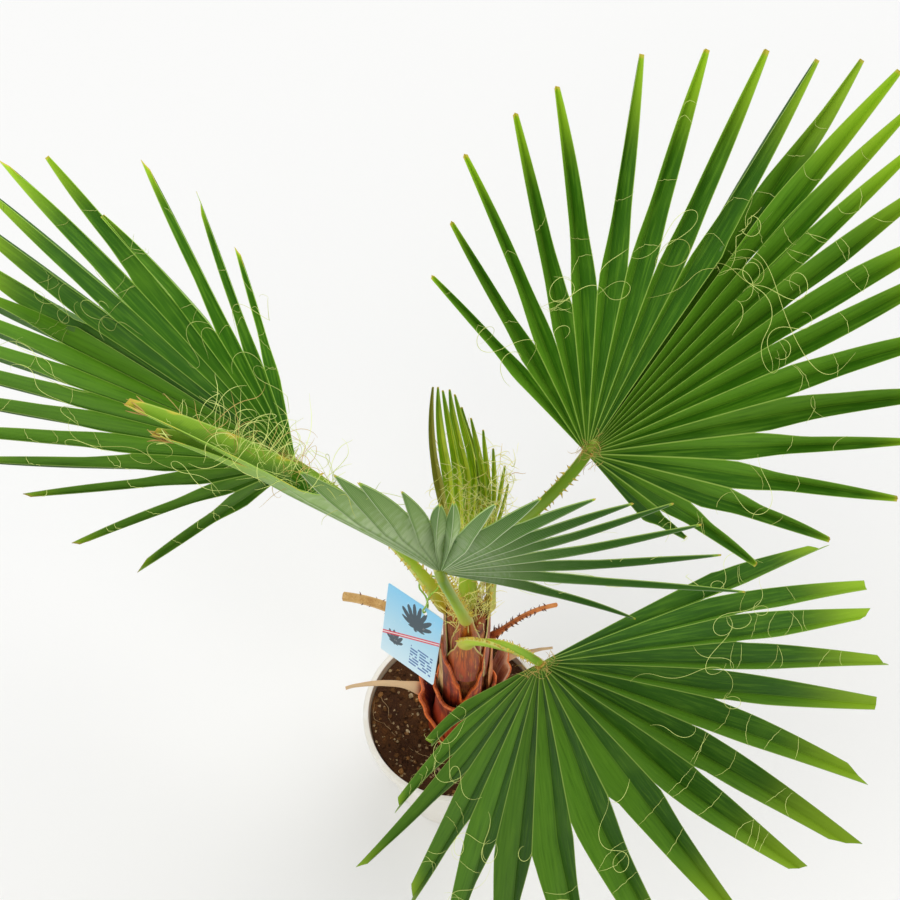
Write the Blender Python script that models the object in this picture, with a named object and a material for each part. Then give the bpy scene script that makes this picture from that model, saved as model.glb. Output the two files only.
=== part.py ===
"""Potted fan palm: a young fan palm in a plain nursery pot.

Sizes are in metres and angles in degrees.  The origin is the middle of the pot's underside and
+Z is up.  Each leaf grew in one piece, so its sheath, stalk and pleated blade are one solid.
The sheaths lie round the trunk in layers, the youngest leaves innermost.
"""

import math
import random
from dataclasses import dataclass

import bmesh
import bpy
from mathutils import Matrix, Vector

# ---- driving dimensions: pot and soil ----
GAP = 0.0003
POT_HEIGHT = 0.160
POT_RIM_RADIUS = 0.0925
POT_BASE_RADIUS = 0.0630
POT_WALL = 0.0020
POT_FLOOR = 0.0045
POT_CHAMFER = 0.0020
RIM_PROUD = 0.0035
RIM_DEPTH = 0.0110
RIM_ROUND = 0.0012
POT_SIDES = 48
DRAIN_COUNT = 6
DRAIN_RADIUS = 0.0045
DRAIN_CIRCLE = 0.0450
CHANNEL_INNER = 0.0300
CHANNEL_WIDTH = 0.0120
CHANNEL_DEPTH = 0.0022
SOIL_TOP = 0.1400
SOIL_EDGE_DROP = 0.0030
SOIL_FLAT_RADIUS = 0.0640
SOCKET_DEPTH = 0.0120
GRAIN_COUNT = 8

# ---- driving dimensions: trunk and leaf bases ----
TRUNK_X = 0.0100
TRUNK_FOOT = 0.0350
TRUNK_TIP_RADIUS = 0.0180
TRUNK_TOP = 0.3950
TRUNK_TAPER = 0.0450
TRUNK_SIDES = 28
SHEATH_THICKNESS = 0.0024
SHEATH_GAP = 0.0008
SECTION_POINTS = 7

# ---- driving dimensions: blades, label and tie ----
BLADE_THICKNESS = 0.0010
BLADE_START = 0.0095
FULL_THICKNESS_RADIUS = 0.0800
JOINED_ROWS = 2
FREE_ROWS = 3
LABEL_WIDTH = 0.0640
LABEL_HEIGHT = 0.0810
LABEL_THICKNESS = 0.0006
LABEL_CENTRE = Vector((-0.0395, -0.0085, 0.3540))
LABEL_TURN = -43.0
LABEL_LEAN = -19.5
LABEL_TILT = -8.5
LABEL_HOLE_RADIUS = 0.0026
LABEL_HOLE_IN = 0.0065
LABEL_HOLE_ACROSS = 0.0113
TIE_RADIUS = 0.0008
TIE_RING_RADIUS = 0.0094
TIE_STRAND_APART = 0.0032
TIE_BEND_HEIGHT = 0.0040
TIE_PLACE = 0.148

COLOURS = {
    "pot_white": ((0.86, 0.85, 0.81), 0.40),
    "potting_soil": ((0.045, 0.026, 0.016), 0.95),
    "pumice": ((0.62, 0.55, 0.42), 0.90),
    "trunk_bark": ((0.17, 0.050, 0.022), 0.75),
    "dry_leaf_base": ((0.34, 0.105, 0.040), 0.70),
    "leaf_green": ((0.075, 0.200, 0.030), 0.40),
    "young_leaf": ((0.20, 0.32, 0.045), 0.45),
    "label_card": ((0.42, 0.70, 0.90), 0.30),
    "tie_green": ((0.22, 0.48, 0.06), 0.40),
}


@dataclass
class Blade:
    """A pleated fan.  Pairs give the first side of the fan, then the last side."""

    hastula: tuple
    azimuth: float
    elevation: float
    roll: float
    segments: int
    length: float
    spread: tuple
    side: tuple
    fold: tuple
    droop: float
    cup: tuple = (0.0, 0.0)
    crowd: tuple = (0.0, 0.0)
    centre: float = 0.0
    power: float = 2.0
    closing: float = 0.0
    split: float = 0.48
    tip_half: float = 0.0012
    pleat: float = 0.45


@dataclass
class Stalk:
    """A sheath round the trunk that narrows into a leaf stalk."""

    azimuth: float
    half_span: float
    bottom: float
    top: float
    layer: int
    leave: tuple
    end: tuple
    arrive: tuple
    width: tuple = (0.0180, 0.0130, 0.0120)
    depth: float = 0.0070
    notch: float = 0.0
    flare: float = 0.0
    reach: tuple = (0.35, 0.35)


BLADES = {
    "leaf_upper_right": Blade(
        hastula=(0.0950, 0.0015, 0.6310), azimuth=38, elevation=55, roll=35, segments=23,
        length=0.336, spread=(-59, 88), side=(0.68, 0.32), fold=(33, 33), droop=0.091,
        crowd=(0.09, -0.51), centre=-0.21, power=2.8),
    "leaf_left": Blade(
        hastula=(-0.1250, 0.0350, 0.5640), azimuth=150, elevation=13, roll=-20.5, segments=19,
        length=0.344, spread=(64, -85), side=(0.59, 0.65), fold=(58, 58), droop=0.095,
        centre=-0.07, tip_half=0.0030),
    "leaf_front": Blade(
        hastula=(-0.0125, -0.0505, 0.5450), azimuth=-75, elevation=69, roll=-5, segments=17,
        length=0.268, spread=(39, -96), side=(1.26, 0.67), fold=(13.5, 10.5), droop=0.047,
        cup=(14, -27), crowd=(-0.32, -0.44), centre=-0.045),
    "leaf_lower_right": Blade(
        hastula=(0.0715, -0.0525, 0.3885), azimuth=-63, elevation=22, roll=24, segments=17,
        length=0.297, spread=(112, -75), side=(0.53, 0.91), fold=(-13, -9.5), droop=0.092,
        crowd=(0.12, 0.05), tip_half=0.0035),
    "leaf_unfolding": Blade(
        hastula=(0.0100, 0.0040, 0.4400), azimuth=90, elevation=87, roll=0, segments=11,
        length=0.262, spread=(-19, 21), side=(0.99, 0.58), fold=(4, 4), droop=0.0,
        centre=-0.35, closing=0.62, split=0.40, pleat=0.9),
}


def blade_axes(blade):
    """The midrib direction of the fan, the side that faces up, and the direction across it."""
    azimuth, elevation, roll = (math.radians(a) for a in
                                (blade.azimuth, blade.elevation, blade.roll))
    out = Vector((math.cos(azimuth), math.sin(azimuth), 0.0))
    axis = out * math.cos(elevation) + Vector((0, 0, math.sin(elevation)))
    level = Vector((0, 0, math.cos(elevation))) - out * math.sin(elevation)
    normal = level * math.cos(roll) + axis.cross(level) * math.sin(roll)
    return axis, normal, axis.cross(normal)


STALKS = {
    "leaf_upper_right": Stalk(
        azimuth=10, half_span=48, bottom=0.272, top=0.384, layer=0, leave=(0.25, 0.0, 1.0),
        end=BLADES["leaf_upper_right"].hastula,
        arrive=blade_axes(BLADES["leaf_upper_right"])[0]),
    "leaf_left": Stalk(
        azimuth=165, half_span=44, bottom=0.268, top=0.384, layer=0, leave=(-0.55, 0.08, 1.0),
        end=BLADES["leaf_left"].hastula, arrive=blade_axes(BLADES["leaf_left"])[0]),
    "leaf_front": Stalk(
        azimuth=-100, half_span=46, bottom=0.270, top=0.386, layer=0, leave=(-0.05, -0.18, 1.0),
        end=BLADES["leaf_front"].hastula, arrive=blade_axes(BLADES["leaf_front"])[0]),
    "leaf_lower_right": Stalk(
        azimuth=-70, half_span=40, bottom=0.205, top=0.312, layer=1, leave=(0.10, -0.15, 1.0),
        end=BLADES["leaf_lower_right"].hastula,
        arrive=blade_axes(BLADES["leaf_lower_right"])[0],
        width=(0.0240, 0.0150, 0.0120), reach=(0.55, 0.40)),
    "dry_stub_left": Stalk(
        azimuth=166, half_span=45, bottom=0.200, top=0.300, layer=1, leave=(-0.6, 0.2, 1.0),
        end=(-0.1025, 0.0380, 0.3380), arrive=(-1.0, 0.10, 0.05),
        width=(0.0180, 0.0105, 0.0095), depth=0.0045, reach=(0.30, 0.45)),
    "dry_stub_right": Stalk(
        azimuth=12, half_span=38, bottom=0.212, top=0.312, layer=1, leave=(0.5, 0.05, 1.0),
        end=(0.0905, 0.0200, 0.3560), arrive=(1.0, 0.10, 0.20),
        width=(0.0170, 0.0085, 0.0055), depth=0.0045, reach=(0.30, 0.45)),
    "old_base_left": Stalk(
        azimuth=200, half_span=42, bottom=SOIL_TOP, top=0.226, layer=2, leave=(-0.9, -0.2, 0.8),
        end=(-0.1080, 0.0080, 0.2000), arrive=(-1.0, 0.10, -0.35),
        width=(0.0200, 0.0080, 0.0045), depth=0.0030, notch=0.45, flare=0.0080),
    "old_base_front": Stalk(
        azimuth=-78, half_span=36, bottom=SOIL_TOP, top=0.218, layer=2, leave=(0.1, -0.7, 1.0),
        end=(0.0180, -0.0480, 0.2420), arrive=(0.15, -0.8, 0.6),
        width=(0.0240, 0.0150, 0.0110), depth=0.0045, notch=0.45, flare=0.0060),
    "old_base_right": Stalk(
        azimuth=2, half_span=40, bottom=SOIL_TOP, top=0.222, layer=2, leave=(0.7, 0.0, 0.9),
        end=(0.0940, 0.0280, 0.2500), arrive=(1.0, 0.25, 0.10),
        width=(0.0200, 0.0070, 0.0040), depth=0.0028, notch=0.50, flare=0.0130),
    "old_base_back": Stalk(
        azimuth=100, half_span=50, bottom=SOIL_TOP, top=0.232, layer=2, leave=(0.0, 0.7, 1.0),
        end=(0.0020, 0.0560, 0.2640), arrive=(-0.1, 0.8, 0.6),
        width=(0.0240, 0.0140, 0.0100), depth=0.0045, notch=0.45, flare=0.0080),
}

LEAF_STALK_RINGS = 10
DRY_STALK_RINGS = 7
SHEATH_RINGS = 5
KNOB_STEPS = ((0.0045, 1.00, 0.25), (0.0105, 0.90, 0.30), (0.0145, 0.55, 0.20))
KNOB_DOME = -0.35


# ---- helpers ----
def clear_scene():
    for thing in list(bpy.data.objects):
        bpy.data.objects.remove(thing, do_unlink=True)


def principled(slot):
    """One material per slot, shared by the pieces that have it."""
    material = bpy.data.materials.get(slot)
    if material:
        return material
    colour, roughness = COLOURS[slot]
    material = bpy.data.materials.new(slot)
    material.use_nodes = True
    shader = material.node_tree.nodes["Principled BSDF"]
    shader.inputs["Base Color"].default_value = (*colour, 1.0)
    shader.inputs["Roughness"].default_value = roughness
    shader.inputs["Metallic"].default_value = 0.0
    return material


def add_object(name, bm, slot, sharp_angle=35):
    """Turn a bmesh into a named object with outward faces and its own material."""
    bmesh.ops.recalc_face_normals(bm, faces=bm.faces)
    mesh = bpy.data.meshes.new(name)
    bm.to_mesh(mesh)
    bm.free()
    mesh.shade_smooth()
    mesh.set_sharp_from_angle(angle=math.radians(sharp_angle))
    thing = bpy.data.objects.new(name, mesh)
    if slot:
        mesh.materials.append(principled(slot))
    bpy.context.scene.collection.objects.link(thing)
    return thing


def hide_cutter(cutter):
    cutter.hide_render = True
    cutter.display_type = "WIRE"


def boolean(thing, other, operation):
    modifier = thing.modifiers.new(operation.lower(), "BOOLEAN")
    modifier.operation = operation
    modifier.solver = "EXACT"
    modifier.object = other


def turned(profile, sides, centre_x=0.0):
    """Spin a profile of (radius, height) points about an upright axis."""
    bm = bmesh.new()
    points = [bm.verts.new((radius, 0.0, height)) for radius, height in profile]
    edges = [bm.edges.new(pair) for pair in zip(points, points[1:])]
    bmesh.ops.spin(bm, geom=points + edges, cent=(0, 0, 0), axis=(0, 0, 1), dvec=(0, 0, 0),
                   angle=math.tau, steps=sides, use_merge=True, use_duplicate=False)
    bmesh.ops.remove_doubles(bm, verts=bm.verts, dist=1e-6)
    bmesh.ops.translate(bm, verts=bm.verts, vec=(centre_x, 0, 0))
    return bm


def smooth_step(value):
    value = min(max(value, 0.0), 1.0)
    return value * value * (3.0 - 2.0 * value)


# ---- pot and soil ----
def pot_inner_radius(height):
    """Radius of the pot's inner wall, which tapers in a straight line to the floor."""
    rim_inner = POT_RIM_RADIUS - RIM_PROUD - POT_WALL
    share = height / POT_HEIGHT
    return (POT_BASE_RADIUS - POT_WALL) * (1.0 - share) + rim_inner * share


def make_pot():
    under_rim = POT_HEIGHT - RIM_DEPTH
    profile = [
        (0.0, 0.0),
        (POT_BASE_RADIUS - POT_CHAMFER, 0.0),
        (POT_BASE_RADIUS, POT_CHAMFER),
        (pot_inner_radius(under_rim) + POT_WALL, under_rim),
        (POT_RIM_RADIUS - RIM_ROUND, under_rim),
        (POT_RIM_RADIUS, under_rim + RIM_ROUND),
        (POT_RIM_RADIUS, POT_HEIGHT - RIM_ROUND),
        (POT_RIM_RADIUS - RIM_ROUND, POT_HEIGHT),
        (pot_inner_radius(POT_HEIGHT) + RIM_ROUND, POT_HEIGHT),
        (pot_inner_radius(POT_HEIGHT), POT_HEIGHT - RIM_ROUND),
        (pot_inner_radius(POT_FLOOR), POT_FLOOR),
        (0.0, POT_FLOOR),
    ]
    pot = add_object("pot", turned(profile, POT_SIDES), "pot_white")

    channels = bmesh.new()
    holes = bmesh.new()
    length = POT_RIM_RADIUS - CHANNEL_INNER
    for index in range(DRAIN_COUNT):
        turn = Matrix.Rotation(math.tau * (index + 0.5) / DRAIN_COUNT, 4, "Z")
        middle = Matrix.Translation((CHANNEL_INNER + length / 2, 0, 0))
        size = Matrix.Diagonal((length, CHANNEL_WIDTH, 2 * CHANNEL_DEPTH, 1.0))
        bmesh.ops.create_cube(channels, size=1.0, matrix=turn @ middle @ size)
        bmesh.ops.create_cone(holes, cap_ends=True, segments=12, radius1=DRAIN_RADIUS,
                              radius2=DRAIN_RADIUS, depth=4 * POT_FLOOR,
                              matrix=turn @ Matrix.Translation((DRAIN_CIRCLE, 0, 0)))
    for name, bm in (("drain_channel_cutter", channels), ("drain_hole_cutter", holes)):
        cutter = add_object(name, bm, None)
        hide_cutter(cutter)
        boolean(pot, cutter, "DIFFERENCE")


def make_soil():
    """Soil that fills the pot to just below the rim, with a socket for the trunk's foot."""
    edge_height = SOIL_TOP - SOIL_EDGE_DROP
    floor = POT_FLOOR + GAP
    socket = TRUNK_FOOT + GAP
    profile = [
        (0.0, floor),
        (pot_inner_radius(floor) - 2 * GAP, floor),
        (pot_inner_radius(edge_height) - 2 * GAP, edge_height),
        (pot_inner_radius(edge_height) - 0.006, edge_height + 0.0005),
        (SOIL_FLAT_RADIUS + TRUNK_X, SOIL_TOP),
    ]
    soil = add_object("soil", turned(profile + [(0.0, SOIL_TOP)], POT_SIDES), "potting_soil")
    cutter_profile = [(0.0, SOIL_TOP - SOCKET_DEPTH), (socket, SOIL_TOP - SOCKET_DEPTH),
                      (socket, SOIL_TOP + SOCKET_DEPTH), (0.0, SOIL_TOP + SOCKET_DEPTH)]
    cutter = add_object("trunk_socket_cutter", turned(cutter_profile, TRUNK_SIDES, TRUNK_X), None)
    hide_cutter(cutter)
    boolean(soil, cutter, "DIFFERENCE")


def make_grains():
    """Loose chips of pumice that lie on the flat of the soil, round the leaf bases."""
    random.seed(7)
    for index in range(GRAIN_COUNT):
        radius = random.uniform(0.0018, 0.0036)
        angle = math.tau * (index + random.uniform(0.2, 0.8)) / GRAIN_COUNT
        distance = random.uniform(0.058, 0.061)
        flat = random.uniform(0.6, 0.9)
        place = Matrix.Translation((distance * math.cos(angle) + TRUNK_X,
                                    distance * math.sin(angle),
                                    SOIL_TOP + GAP + radius * flat))
        shape = Matrix.Diagonal((radius, radius * random.uniform(0.75, 1.0), radius * flat, 1.0))
        spin = Matrix.Rotation(random.uniform(0, math.tau), 4, "Z")
        bm = bmesh.new()
        bmesh.ops.create_icosphere(bm, subdivisions=1, radius=1.0, matrix=place @ spin @ shape)
        add_object(f"pumice_grain_{index + 1}", bm, "pumice", sharp_angle=20)


# ---- trunk, sheaths and leaf stalks ----
def trunk_radius(height):
    """The trunk flares to its foot at the soil and is nearly straight above."""
    above = max(height - SOIL_TOP, 0.0)
    flare = (TRUNK_FOOT - GAP - TRUNK_TIP_RADIUS) * math.exp(-above / TRUNK_TAPER)
    return TRUNK_TIP_RADIUS + flare


def make_trunk():
    floor = SOIL_TOP - SOCKET_DEPTH + GAP
    shoulder = TRUNK_TOP - 0.010
    profile = [(0.0, floor), (trunk_radius(SOIL_TOP), floor)]
    rings = 15
    for ring in range(rings + 1):
        height = SOIL_TOP + (shoulder - SOIL_TOP) * (ring / rings) ** 1.4
        profile.append((trunk_radius(height), height))
    profile += [(TRUNK_TIP_RADIUS * 0.85, TRUNK_TOP - 0.003), (TRUNK_TIP_RADIUS * 0.6, TRUNK_TOP),
                (0.0, TRUNK_TOP)]
    add_object("trunk", turned(profile, TRUNK_SIDES, TRUNK_X), "trunk_bark")


def section_positions():
    """Positions across a stalk, from -1 at one edge to +1 at the other."""
    return [2.0 * k / (SECTION_POINTS - 1) - 1.0 for k in range(SECTION_POINTS)]


def sheath_ring(stalk, share, half_angle):
    """A crescent of points round the trunk, at a share of the sheath's height."""
    outer, inner = [], []
    base = stalk.layer * (SHEATH_THICKNESS + SHEATH_GAP) + SHEATH_GAP
    tall = stalk.top - stalk.bottom
    for across in section_positions():
        lift = stalk.notch * tall * max(0.0, 1.0 - abs(across) / 0.55)
        height = stalk.bottom + GAP + lift + (tall - GAP - lift) * share
        down = 1.0 - (height - stalk.bottom) / tall
        flare = stalk.flare * down * down * (0.35 + 0.65 * abs(across))
        radius = trunk_radius(height) + base + flare
        thickness = SHEATH_THICKNESS * (1.0 - 0.55 * across * across)
        angle = math.radians(stalk.azimuth - across * half_angle)
        ray = Vector((math.cos(angle), math.sin(angle), 0.0))
        centre = Vector((TRUNK_X, 0.0, height))
        inner.append(centre + ray * radius)
        outer.append(centre + ray * (radius + thickness))
    return outer + inner[::-1]


def stalk_ring(place, along, upper, width, depth, hollow=0.30):
    """A section that is round below; its upper side is hollowed, or domed if hollow is below 0."""
    upper = (upper - along * upper.dot(along)).normalized()
    across_dir = along.cross(upper)
    lower_side, upper_side = [], []
    for across in section_positions():
        swing = math.sin(across * math.pi / 2)
        round_part = math.sqrt(max(0.0, 1.0 - swing * swing))
        sideways = across_dir * (width / 2 * swing)
        lower_side.append(place + sideways - upper * depth * (0.18 + 0.82 * round_part))
        upper_side.append(place + sideways * 0.97 - upper * depth * hollow * (1 - swing * swing))
    return lower_side + upper_side[::-1]


def stalk_path(stalk, share):
    """Place, direction, upper side, width and depth along the free stalk."""
    ray = Vector((math.cos(math.radians(stalk.azimuth)), math.sin(math.radians(stalk.azimuth)), 0))
    base = stalk.layer * (SHEATH_THICKNESS + SHEATH_GAP) + SHEATH_GAP
    start = Vector((TRUNK_X, 0, stalk.top)) + ray * (trunk_radius(stalk.top) + base)
    end = Vector(stalk.end)
    span = (end - start).length
    near = start + Vector(stalk.leave).normalized() * span * stalk.reach[0]
    far = end - Vector(stalk.arrive).normalized() * span * stalk.reach[1]
    rest = 1.0 - share
    place = (start * rest ** 3 + near * 3 * rest ** 2 * share
             + far * 3 * rest * share ** 2 + end * share ** 3)
    along = ((near - start) * rest ** 2 + (far - near) * 2 * rest * share
             + (end - far) * share ** 2).normalized()
    first, middle, last = stalk.width
    if share < 0.35:
        width = first + (middle - first) * smooth_step(share / 0.35)
    else:
        width = middle + (last - middle) * (share - 0.35) / 0.65
    return place, along, -ray, width


def upper_side(name, stalk, share, along, inward):
    """The stalk's upper side turns from the trunk's side to the blade's upper side."""
    goal = blade_axes(BLADES[name])[1] if name in BLADES else Vector((0, 0, 1))
    mix = inward * (1 - smooth_step(share)) + goal * smooth_step(share)
    return (mix - along * mix.dot(along)).normalized()


def stalk_section(name, stalk, share):
    place, along, inward, width = stalk_path(stalk, share)
    return stalk_ring(place, along, upper_side(name, stalk, share, along, inward), width,
                      stalk.depth)


def loft(rings):
    """Skin over rings of equal count, closed across each end from one side to the other."""
    bm = bmesh.new()
    loops = [[bm.verts.new(point) for point in ring] for ring in rings]
    count = len(rings[0])
    for lower, higher in zip(loops, loops[1:]):
        for k in range(count):
            after = (k + 1) % count
            bm.faces.new((lower[k], lower[after], higher[after], higher[k]))
    for loop in (loops[0], loops[-1]):
        for k in range(count // 2 - 1):
            bm.faces.new((loop[k], loop[k + 1], loop[count - 2 - k], loop[count - 1 - k]))
    return bm


def stalk_rings(name, stalk):
    """Rings from the sheath's foot to the end of the stalk."""
    _, _, _, first_width = stalk_path(stalk, 0.0)
    base = stalk.layer * (SHEATH_THICKNESS + SHEATH_GAP) + SHEATH_GAP
    top_angle = math.degrees(math.asin(first_width / 2 / (trunk_radius(stalk.top) + base)))
    rings = []
    for ring in range(SHEATH_RINGS + 1):
        share = ring / SHEATH_RINGS
        narrow = smooth_step((share - 0.35) / 0.65)
        half_angle = stalk.half_span + (top_angle - stalk.half_span) * narrow
        rings.append(sheath_ring(stalk, share, half_angle))
    steps = LEAF_STALK_RINGS if name in BLADES else DRY_STALK_RINGS
    for step in range(1, steps + 1):
        share = (step / steps) ** 1.15
        rings.append(stalk_section(name, stalk, share))
    if name in BLADES:
        place, along, inward, width = stalk_path(stalk, 1.0)
        upper = upper_side(name, stalk, 1.0, along, inward)
        for ahead, scale, lift in KNOB_STEPS:
            centre = place + along * ahead + upper * stalk.depth * lift
            rings.append(stalk_ring(centre, along, upper, width * scale, stalk.depth * scale,
                                    KNOB_DOME))
    return rings


# ---- blades ----
def fan_share(blade, index):
    """Place of a segment in the fan, from -1 at the first edge to +1 at the last."""
    share = 2.0 * index / (blade.segments - 1) - 1.0
    half = 1.0 + blade.centre if share < blade.centre else 1.0 - blade.centre
    return (share - blade.centre) / half


def fan_direction(blade, index, closed=0.0):
    """Direction of a line of the fan; index may fall between two segments."""
    share = fan_share(blade, index)
    last = share >= 0.0
    turned_share = share + blade.crowd[last] * (share - share ** 3)
    angle = math.radians(abs(turned_share) * blade.spread[last]) * (1.0 - closed)
    fold = math.radians(blade.fold[last] + blade.cup[last] * abs(share))
    axis, normal, across = blade_axes(blade)
    return (axis * math.cos(angle) + across * math.sin(angle) * math.cos(fold)
            + normal * abs(math.sin(angle)) * math.sin(fold))


def fan_length(blade, index):
    share = fan_share(blade, index)
    return blade.length * (1.0 - (1.0 - blade.side[share >= 0.0]) * abs(share) ** blade.power)


def fan_point(blade, index, radius):
    """Point on the unpleated fan, with the droop that grows with the square of the radius."""
    direction = fan_direction(blade, index, blade.closing * radius / blade.length)
    level = math.hypot(direction.x, direction.y)
    sag = blade.droop * level * radius * radius / blade.length
    return Vector(blade.hastula) + direction * radius - Vector((0, 0, sag))


def fan_frame(blade, index, radius):
    """Point, unit direction across the segment, and the normal of the fan's upper side."""
    step = 0.25
    point = fan_point(blade, index, radius)
    across = fan_point(blade, index + step, radius) - fan_point(blade, index - step, radius)
    along = point - fan_point(blade, index, radius * 0.9)
    normal = across.cross(along).normalized()
    if normal.dot(blade_axes(blade)[1]) < 0:
        normal.negate()
    return point, across.normalized(), normal


def half_width(blade, index, radius):
    edges = [fan_point(blade, index + side, radius) for side in (-0.5, 0.5)]
    return (edges[1] - edges[0]).length / 2


def split_radius(blade, edge, wobble):
    """How far out the ridge between two segments stays joined."""
    shorter = min(fan_length(blade, max(edge - 0.5, 0)),
                  fan_length(blade, min(edge + 0.5, blade.segments - 1)))
    return blade.split * shorter * wobble


def blade_mesh(blade):
    """A thin closed fan: joined pleats near the stalk, then one free V-shaped strip each."""
    random.seed(blade.segments)
    wobble = [random.uniform(0.86, 1.14) for _ in range(blade.segments + 1)]
    splits = [split_radius(blade, edge - 0.5, wobble[edge]) for edge in range(blade.segments + 1)]
    bm = bmesh.new()
    sheets = {}
    quads = []

    def place(key, index, radius, sideways, lift):
        if key not in sheets:
            point, across, normal = fan_frame(blade, index, radius)
            middle = point + across * sideways + normal * lift
            thinned = min(1.0, 0.25 + 0.75 * radius / FULL_THICKNESS_RADIUS)
            shift = normal * BLADE_THICKNESS * thinned / 2
            sheets[key] = (bm.verts.new(middle + shift), bm.verts.new(middle - shift))
        return key

    def joined_vertex(line, row):
        """Even lines are ridges and odd lines are the valleys along the midribs."""
        index = line / 2 - 0.5
        ridge = line % 2 == 0
        reach = splits[line // 2] if ridge else (splits[line // 2] + splits[line // 2 + 1]) / 2
        radius = BLADE_START + (reach - BLADE_START) * row / JOINED_ROWS
        lift = blade.pleat * half_width(blade, index, radius) * (1 if ridge else -1)
        return place(("joined", line, row), index, radius, 0.0, lift)

    def free_vertex(segment, side, row):
        """Side is -1 or +1 for the margins and 0 for the midrib."""
        if row == 0:
            return joined_vertex(2 * segment + 1 + side, JOINED_ROWS)
        mean = (splits[segment] + splits[segment + 1]) / 2
        start = mean if side == 0 else splits[segment + (side > 0)]
        share = row / FREE_ROWS
        radius = start + (fan_length(blade, segment) - start) * share
        wide = half_width(blade, segment, mean)
        width = wide * (1.0 - share ** 1.5) + blade.tip_half * share
        lift = blade.pleat * width * (1 if side else -1)
        return place(("free", segment, side, row), segment, radius, side * width, lift)

    for line in range(2 * blade.segments):
        for row in range(JOINED_ROWS):
            quads.append((joined_vertex(line, row), joined_vertex(line + 1, row),
                          joined_vertex(line + 1, row + 1), joined_vertex(line, row + 1)))
    for segment in range(blade.segments):
        for side in (-1, 0):
            for row in range(FREE_ROWS):
                quads.append((free_vertex(segment, side, row), free_vertex(segment, side + 1, row),
                              free_vertex(segment, side + 1, row + 1),
                              free_vertex(segment, side, row + 1)))
    uses = {}
    for quad in quads:
        bm.faces.new([sheets[key][0] for key in quad])
        bm.faces.new([sheets[key][1] for key in reversed(quad)])
        for a, b in zip(quad, quad[1:] + quad[:1]):
            uses.setdefault(frozenset((a, b)), []).append((a, b))
    for pairs in uses.values():
        if len(pairs) == 1:
            a, b = pairs[0]
            bm.faces.new((sheets[b][0], sheets[a][0], sheets[a][1], sheets[b][1]))
    return bm


# ---- leaves ----
def make_leaf(name):
    """Sheath, stalk and blade, joined in one solid."""
    leaf = add_object(name, loft(stalk_rings(name, STALKS[name])), "leaf_green")
    blade = add_object(name + "_blade_tool", blade_mesh(BLADES[name]), None)
    hide_cutter(blade)
    boolean(leaf, blade, "UNION")


def make_unfolding_leaf():
    """The youngest leaf stands on the trunk's tip, its pleats still close together."""
    blade = BLADES["leaf_unfolding"]
    foot = Vector((TRUNK_X, 0.0, TRUNK_TOP + GAP))
    head = Vector(blade.hastula) + blade_axes(blade)[0] * KNOB_STEPS[1][0]
    rings = []
    for share, radius in ((0.0, 0.0070), (0.15, 0.0082), (0.5, 0.0078), (0.8, 0.0072), (1.0, 0.0040)):
        centre = foot.lerp(head, share)
        rings.append([centre + Vector((math.cos(turn), math.sin(turn), 0)) * radius
                      for turn in (math.tau * k / 12 for k in range(12))])
    stalk = add_object("leaf_unfolding", loft(rings), "young_leaf")
    tool = add_object("leaf_unfolding_blade_tool", blade_mesh(blade), None)
    hide_cutter(tool)
    boolean(stalk, tool, "UNION")


def make_dry_leaf(name):
    add_object(name, loft(stalk_rings(name, STALKS[name])), "dry_leaf_base")


# ---- label and tie ----
def label_matrix():
    turn = Matrix.Rotation(math.radians(LABEL_TURN), 4, "Z")
    lean = Matrix.Rotation(math.radians(LABEL_LEAN), 4, "X")
    tilt = Matrix.Rotation(math.radians(LABEL_TILT), 4, "Y")
    return Matrix.Translation(LABEL_CENTRE) @ turn @ lean @ tilt


def label_hole():
    """Middle of the hole in the card's own frame: X across, Y through and Z up the card."""
    return Vector((LABEL_HOLE_ACROSS, 0.0, LABEL_HEIGHT / 2 - LABEL_HOLE_IN))


def make_label():
    """A thin card with a hole near its top edge."""
    bm = bmesh.new()
    hole = label_hole()
    corners = [Vector((side * LABEL_WIDTH / 2, 0, end * LABEL_HEIGHT / 2))
               for side, end in ((-1, -1), (1, -1), (1, 1), (-1, 1))]
    outer = []
    for start, finish in zip(corners, corners[1:] + corners[:1]):
        outer += [start.lerp(finish, share) for share in (0.0, 0.25, 0.5, 0.75)]
    inner = []
    for point in outer:
        away = (point - hole).normalized()
        inner.append(hole + away * LABEL_HOLE_RADIUS)
    shift = Vector((0, LABEL_THICKNESS / 2, 0))
    rows = [[bm.verts.new(point + offset) for point in loop]
            for loop, offset in ((outer, -shift), (inner, -shift), (inner, shift), (outer, shift))]
    for row, following in zip(rows, rows[1:] + rows[:1]):
        for k in range(len(row)):
            after = (k + 1) % len(row)
            bm.faces.new((row[k], row[after], following[after], following[k]))
    bmesh.ops.transform(bm, matrix=label_matrix(), verts=bm.verts)
    add_object("plant_label", bm, "label_card")


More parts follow.
